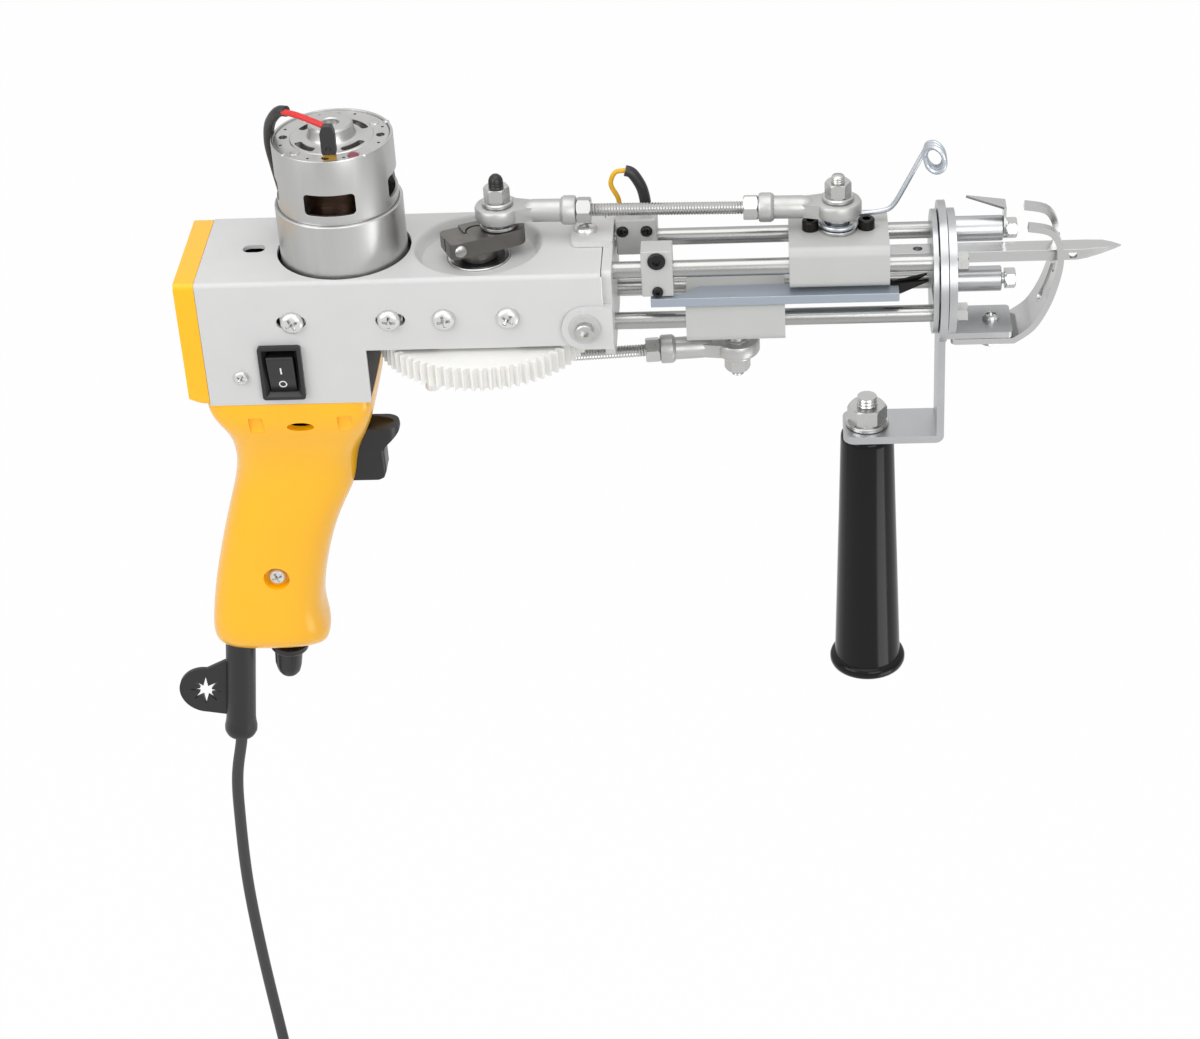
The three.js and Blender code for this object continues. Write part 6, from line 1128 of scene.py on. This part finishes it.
for side, label in ((-1, "near"), (1, "far")):
    ring = facing(washer(5.6, 0.7, 2.2), (EAR_X, side * 27.2, EAR_BOLT_Z), (0, side, 0))
    bolt = together(facing(socket_cap(3.2, 3, 1.35), (EAR_X, side * 27.85, EAR_BOLT_Z), (0, side, 0), 0.35),
                    drum("y", (side * 27.9, side * 24), 1.9, (EAR_X, 0, EAR_BOLT_Z), steps=32))
    piece("nose_ear_washer_" + label, ring, slider_coat, edge=0.1)
    piece("nose_ear_screw_" + label, bolt, bright_zinc, edge=0.15)

# %% [markdown]
# Two small blocks are clamped on the rods: one on the near rod stops the needle slider, the other
# behind it holds the stop switch, whose yellow lead comes out in a loop and goes back in a black
# sleeve.

# %% Rod clamp and stop switch
clamp = cut(block((104.3, 115.2), (-16.2, -7.7), (-14, 3.5)), drum("x", (100, 120), 3.1, (0, -ROD_Y, UPPER_Z)))
piece("clamp_body", clamp, slider_coat, "rod_clamp", edge=0.8, segments=3)
for number, (radius, z) in enumerate(((3.1, -0.1), (1.9, -12)), 1):
    head = facing(socket_cap(radius, 1.2, radius * 0.42, 0.9), (109.75, -16.15, z), NEAR, 0.2)
    piece(f"clamp_screw_{number}", head, black_screw, edge=0.1)
STOP_X, STOP_LONG = 94.9, 14.5
stop = cut(block((STOP_X, STOP_X + STOP_LONG), (6.2, 17.6), (-9.6, 4.3)),
           drum("x", (90, 115), 3.1, (0, ROD_Y, UPPER_Z)),
           drum("z", (1, 6), 2.2, (102, 13, 0), steps=32))
piece("stop_switch_case", stop, slider_coat, "stop_switch_block", edge=0.8, segments=3)
for number, x in enumerate((97.3, 105.7), 1):
    head = facing(pan_head(2.1, 1.15), (x, 6.25, -0.2), NEAR, 0.5 * number)
    piece(f"stop_switch_screw_{number}", head, black_screw)


def switch_lead(shares, radius):
    """A wire over the stop switch, its points given as shares of the switch's length."""
    points = [(STOP_X + STOP_LONG * share, 13, 4.45 + STOP_LONG * height) for share, height in shares]
    return wire(smooth_line(points), radius)


lead = switch_lead([(0.1, 0), (0.08, 0.34), (-0.08, 0.72), (0.02, 1.02), (0.22, 1.08), (0.36, 1.07)], 0.85)
sleeve = switch_lead([(0.28, 1.08), (0.45, 1), (0.64, 0.66), (0.72, 0.32), (0.74, 0)], 2.0)
piece("switch_lead", lead, yellow_pvc, "switch_wire", sharp=80)
piece("switch_sleeve", sleeve, black_pvc, sharp=80)

# %% [markdown]
# ## Front discs
# Three plates are stacked on the rods' front ends: two round ones, and between them the strip that
# folds back to the front handle. All are bored together for the rods, the needle and the blades.

# %% Discs
def bored(span, radius):
    """A disc of the stack with the holes that all three share."""
    holes = [drum("x", (200, 216), 3.1, at) for at in BORES]
    holes += [block((200, 216), y, z) for y, z in (((-4.1, 4.1), (-11.3, -6)), ((-18.3, -6.6), (-18.5, -13.6)),
                                                   ((-12.2, -6.6), (-18.5, -10.2)))]
    return cut(drum("x", span, radius, (0, 0, -15.6), steps=96), *holes)


TAB_BOLT, STRIP = (225.7, 0, 0), (-9.8, 9.8)
piece("disc_rear", bored((204.4, 206.2), 21.7), satin_chrome, "rear_disc", edge=0.3)
riser = [(206.65, -30), (209.3, -30), (209.3, -80.3), (173.6, -80.3), (173.6, -77.3), (206.65, -77.3)]
middle = joined(bored((206.65, 209.3), 24.7), prism("y", riser, (-9.6, 9.6), [(3, [2])], 8))
middle_top = common(middle.copy(), block((160, 220), (-40, 40), (-41, 20)))
middle_foot = common(middle, prism("z", rect(173.6, 215, -9.6, 9.6), (-90, -41), [(4.2, [0, 3])]))
middle = cut(joined(middle_top, middle_foot), drum("z", (-85, -70), 3.75, (182.3, 0, 0)))
piece("disc_bracket", middle, satin_chrome, "handle_bracket", edge=0.35, segments=3)
front = joined(bored((209.75, 212.5), 21.9), block((209.8, 212.5), STRIP, (-36.5, -30)),
               prism("z", rect(209.8, 232.6, *STRIP), (-37.5, -35.2), [(1.5, [1, 2])], 5))
front = cut(front, drum("z", (-40, -30), 1.9, TAB_BOLT, steps=32))
piece("disc_front", front, satin_chrome, "front_disc", edge=0.3)
tab_screw = together(facing(pan_head(2.9, 2.2), (225.7, 0, -35.25)),
                     drum("z", (-44.6, -35.2), 1.75, TAB_BOLT, steps=32))
piece("tab_screw", tab_screw, bright_zinc, edge=0.05)
piece("tab_nut", placed(hex_nut(8, 4), shift(225.7, 0, -44.15) @ turned(0.3)), bright_zinc, edge=0.2)

# %% [markdown]
# ## Presser foot
# A strap of bright steel clamped under the tab by one slotted foot. It rises in front of the discs
# in a shallow bow, is pierced for the needle, and ends in two prongs that hold the cloth down.

# %% Foot
HALF_THICK = 1.1
shares = [(0.02, 0), (0.4, 0.15), (0.68, 0.4), (0.86, 0.68), (0.95, 0.95), (0.9, 1.17), (0.7, 1.31), (0.26, 1.36)]
bow = smooth_line([(232.6 + 16.4 * a, 0, -38.75 + 32.15 * b) for a, b in shares], 4)
front_side, back_side = [], []
for before, here, after in zip([bow[0]] + bow[:-1], bow, bow[1:] + [bow[-1]]):
    run, rise = after.x - before.x, after.z - before.z
    across, up = HALF_THICK * rise / hypot(run, rise), HALF_THICK * run / hypot(run, rise)
    front_side.append((here.x + across, here.z - up))
    back_side.append((here.x - across, here.z + up))
strap = prism("y", front_side + back_side[::-1], STRIP)
base = cut(prism("z", rect(211.2, 233.4, *STRIP), (-39.85, -37.65), [(2, [0, 3])]),
           prism("z", rect(212.6, 227.9, -2.2, 2.2), (-45, -30), [(2.1, ALL_FOUR)]))
foot = cut(joined(strap, base), prism("x", rect(-2.2, 2.2, -28.5, -12), (232, 260), [(2.1, [0, 1])], 8),
           prism("x", rect(-6.3, 6.3, -15, 20), (230, 260), [(3, [0, 1])], 8))
piece("foot_strap", foot, bright_chrome, "presser_foot", "presser_foot", 0.4, 3)

# %% Yarn hook
plate = cut(prism("x", rect(8.4, 15.4, -9.2, 3.6), (230, 230.8), [(3.2, [0, 1])]),
            drum("x", (228, 233), 2.15, (0, ROD_Y, UPPER_Z), steps=32))
leaf = prism("z", [(230.8, 8.4), (230.8, 15.4), (217, 15), (217, 14.4)], (-0.4, 0.4))
fold = shift(230.8, 0, 3.4) @ turned(atan2(2.2, 13.8), "Y") @ shift(-230.8, 0, 0)
piece("hook_leaf", joined(plate, placed(leaf, fold)), bright_chrome, "yarn_hook", edge=0.12)

# %% [markdown]
# ## Front handle
# A turned handle in glossy black, slim at the bracket and swelling to a rounded foot. Its bolt
# comes up through the bracket and is locked by a washer and a large nut.

# %% Handle
HANDLE_X = 182.3
profile = [(0, -80.45), (7.9, -80.45), (8.95, -80.7), (9.5, -81.6), (9.65, -83), (10.4, -112), (11.35, -146),
           (12.2, -176.5), (12.35, -178.4), (13.1, -178.75), (13.8, -179.3), (14.1, -180.3), (14.1, -181.4),
           (13.7, -182.4), (12.7, -183), (0, -183)]
piece("handle_grip", spun(profile, (HANDLE_X, 0, 0), steps=96), polished_black_abs, "front_handle", sharp=50)
bolt = together(placed(threaded(3.65, 16.7, 1.25, 0.4, 24), shift(HANDLE_X, 0, -82.5)),
                placed(washer(7.8, 1.6, 3.7), shift(HANDLE_X, 0, -77.15)))
piece("handle_bolt_thread", bolt, bright_zinc, "handle_bolt")
crown = [(0, -1), (9, -1), (7.4, 0.3), (7.4, 5.2), (6.2, 6.3), (0, 6.3)]
nut = placed(common(hex_nut(12.4, 6.2, 3.3), spun(crown, steps=48)), shift(HANDLE_X, 0, -75.55) @ turned(-0.03))
piece("handle_nut", nut, bright_zinc, edge=0.25)

# %% [markdown]
# ## Mains cord
# A 4.6 mm two-core PVC cord leaves the sleeve under the grip and falls almost straight. Its unseen
# length is wound in a flat coil of eight turns on two layers, held by a moulded strap as on a new
# machine, and a flat two-pin plug with a ribbed grommet hangs from the coil's tail. The centre
# line is worked out first.

# %% Cord line
CORD_RADIUS = 2.3
COIL_X, COIL_Z, COIL_RADIUS, COIL_PITCH = -29.6, -432, 33, 5.1
TURNS_IN, TURNS_UP, TURNS_OUT, STEPS_A_TURN = 3.5, 0.5, 4, 20


def along_sleeve(depth):
    """A point below the grip's end, measured along the leaning sleeve."""
    return Vector((-57.4 - depth * sin(LEAN), 0, GRIP_END - depth * cos(LEAN)))


def coil_point(turns):
    """The coil's centre line after a number of turns: in on the near layer, out on the far one."""
    rising = min(max((turns - TURNS_IN) / TURNS_UP, 0), 1)
    radius = COIL_RADIUS + COIL_PITCH * (max(0, turns - TURNS_IN - TURNS_UP) - min(turns, TURNS_IN))
    radius -= 0.25 * COIL_PITCH * sin(rising * pi)
    x, z = on_circle(radius, pi + turns * 2 * pi)
    return Vector((COIL_X + x, rising * rising * (3 - 2 * rising) * COIL_PITCH, COIL_Z + z))


hanging = [(-66.7, -234.3), (-68.3, -253.3), (-69.4, -289.6), (-68, -330.5), (-64.9, -378), (-62.8, -408),
           (COIL_X - COIL_RADIUS, COIL_Z + 9.2), (COIL_X - COIL_RADIUS, COIL_Z + 4.7)]
line = smooth_line([along_sleeve(45.2), along_sleeve(50.4)] + [(x, 0, z) for x, z in hanging], 3)[:-1]
turns = TURNS_IN + TURNS_UP + TURNS_OUT
line += [coil_point(i / STEPS_A_TURN) for i in range(int(turns * STEPS_A_TURN) + 1)]
line += [line[-1] - Vector((0, 0, drop)) for drop in (6, 14, 24, 34, 41)]
cord_line = smooth_line(line, 3)
mains_cord = piece("mains_cord", wire(cord_line, CORD_RADIUS), cord_pvc, ("cord_free", "cord_coil"), sharp=60)

# %% Cord tie and plug
band = cut(prism("z", rect(-20.54, 7.5, -4.1, 9.2), (-436, -428), [(3, ALL_FOUR)]),
           prism("z", rect(-19.24, 6.2, -2.8, 7.9), (-440, -420), [(1.8, ALL_FOUR)]))
piece("tie_strap", band, satin_black_abs, "cord_tie", edge=0.3)
PLUG_X, PLUG_Y = -65.15, 5.1
outline = [(-8, -480.7), (8, -480.7), (10, -489.7), (16, -504.7), (16, -513.7), (-16, -513.7), (-16, -504.7),
           (-10, -489.7)]
plug = prism("y", [(PLUG_X + x, z) for x, z in outline], (PLUG_Y - 6.8, PLUG_Y + 6.8),
             [(2.5, [0, 1]), (4.5, [4, 5])], 5)
grommet = spun([(0, -470.7), (3.2, -470.7), (3.3, -473), (3.8, -473.4), (3.4, -474), (3.5, -476), (4, -476.4),
                (3.6, -477), (3.8, -479), (4.2, -481), (0, -481)], (PLUG_X, PLUG_Y, 0), steps=48)
pins = [drum("z", (-532.7, -513), 2, (PLUG_X + side * 9.3, PLUG_Y, 0), 0.5, steps=32) for side in (-1, 1)]
piece("plug_body", joined(plug, grommet), satin_black_abs, "mains_plug", edge=0.8, segments=3)
piece("plug_pins", together(*pins), bright_zinc)

# %% [markdown]
# ## CAD pieces that stay
# The micro switch and the speed control hide inside the grip and keep their CAD mesh. It is loose
# triangles, so Weld joins them, a planar Decimate clears the flat faces, and a small Bevel gives
# the edges the radius that light catches.

# %% Finish what stays
for name, node_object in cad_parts.items():
    if node_object.hide_render:
        continue
    node_object.data.materials.clear()
    node_object.data.materials.append(satin_black_abs)
    weld = node_object.modifiers.new("weld", "WELD")
    weld.merge_threshold = 0.002 * MM
    clear = node_object.modifiers.new("clear flats", "DECIMATE")
    clear.decimate_type, clear.angle_limit = "DISSOLVE", radians(1)
    soften(node_object, 0.25)
    print(name, "keeps its CAD mesh")

# %% [markdown]
# ## Floor and light
# A pale floor and a white room, lit softly from above and from the left as a product is. The
# camera sees both as white paper. What metal and gloss mirror is a room that is bright above and
# darker towards the ground and the right, since it is that change that shows a bar is round.

# %% Floor
def maths(tree, how, first, second):
    """Adds or multiplies two values and keeps the result between 0 and 1."""
    return node(tree, "Math", [(0, first), (1, second)], operation=how, use_clamp=True).outputs[0]


floor_bm = bmesh.new()
bmesh.ops.create_grid(floor_bm, x_segments=1, y_segments=1, size=6)
floor_level = min(corner[2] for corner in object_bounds()) - 0.001
floor = as_object(placed(floor_bm, shift(0.1, 2, floor_level)), "floor")
white_floor = bpy.data.materials.new("white_paper_floor")
tree = emptied(white_floor)
paper = node(tree, "BsdfDiffuse", [("Color", (0.86, 0.86, 0.86, 1))])
glow = node(tree, "Emission", [("Color", (1, 1, 1, 1)), ("Strength", 1.0)])
path = node(tree, "LightPath").outputs
seen = maths(tree, "MULTIPLY", path["Is Glossy Ray"], 0.62)
for ray in ("Is Camera Ray", "Is Transmission Ray"):
    seen = maths(tree, "ADD", seen, path[ray])
share = maths(tree, "MULTIPLY", seen, 0.98)
mix = node(tree, "MixShader", [(0, share), (1, paper.outputs[0]), (2, glow.outputs[0])])
node(tree, "OutputMaterial", [("Surface", mix.outputs[0])])
floor.data.materials.append(white_floor)
floor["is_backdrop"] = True


# %% Room
def fade(tree, value, start, end, low, high):
    """A value that runs from start to end, turned into one that runs from low to high."""
    return node(tree, "MapRange", [("Value", value), ("From Min", start), ("From Max", end), ("To Min", low),
                                   ("To Max", high)]).outputs[0]


scene.world = bpy.data.worlds.new("white_room")
tree = emptied(scene.world)
path = node(tree, "LightPath").outputs
way = node(tree, "SeparateXYZ", [(0, node(tree, "TexCoord").outputs["Generated"])]).outputs
by_height, by_side = fade(tree, way["Z"], -0.5, 0.75, 0.3, 1.2), fade(tree, way["X"], -1.0, 1.0, 1.15, 0.75)
mirror = maths(tree, "MULTIPLY", by_height, by_side)
gloss = node(tree, "Mix", [("Factor", path["Is Glossy Ray"]), ("A", 0.58), ("B", mirror)])
open_air = maths(tree, "ADD", path["Is Camera Ray"], path["Is Transmission Ray"])
strength = node(tree, "Mix", [("Factor", open_air), ("A", gloss.outputs[0]), ("B", 1.0)])
room = node(tree, "Background", [("Color", (1, 1, 1, 1)), ("Strength", strength.outputs[0])])
node(tree, "OutputWorld", [("Surface", room.outputs[0])])


# %% Lamps
def lamp(name, place, target, size, power):
    """A square soft box at a place, turned to a target, both in bench millimetres."""
    light = bpy.data.lights.new(name, "AREA")
    light.size, light.energy = size, power
    obj = bpy.data.objects.new(name, light)
    obj.location = home(place)
    obj.rotation_mode = "QUATERNION"
    obj.rotation_quaternion = (home(target) - home(place)).to_track_quat("-Z", "Y")
    scene.collection.objects.link(obj)
    return obj


lamp("top_box", (60, -100, 900), (80, 0, -60), 0.9, 3.8)
lamp("left_box", (-700, -600, 500), (60, 0, -60), 0.7, 4.4)
lamp("front_box", (500, -900, 300), (100, 0, -60), 0.6, 3.6)
turn, away = azimuth + radians(50), 350
glint_place = (182 + away * sin(turn), -away * cos(turn), -130 - away * tan(elevation))
glint = lamp("handle_strip", glint_place, (182, 0, -130), 0.24, 0.5)
glint.visible_diffuse = glint.visible_camera = False
print("three soft boxes, a small one for the handle, a white room and a white floor")
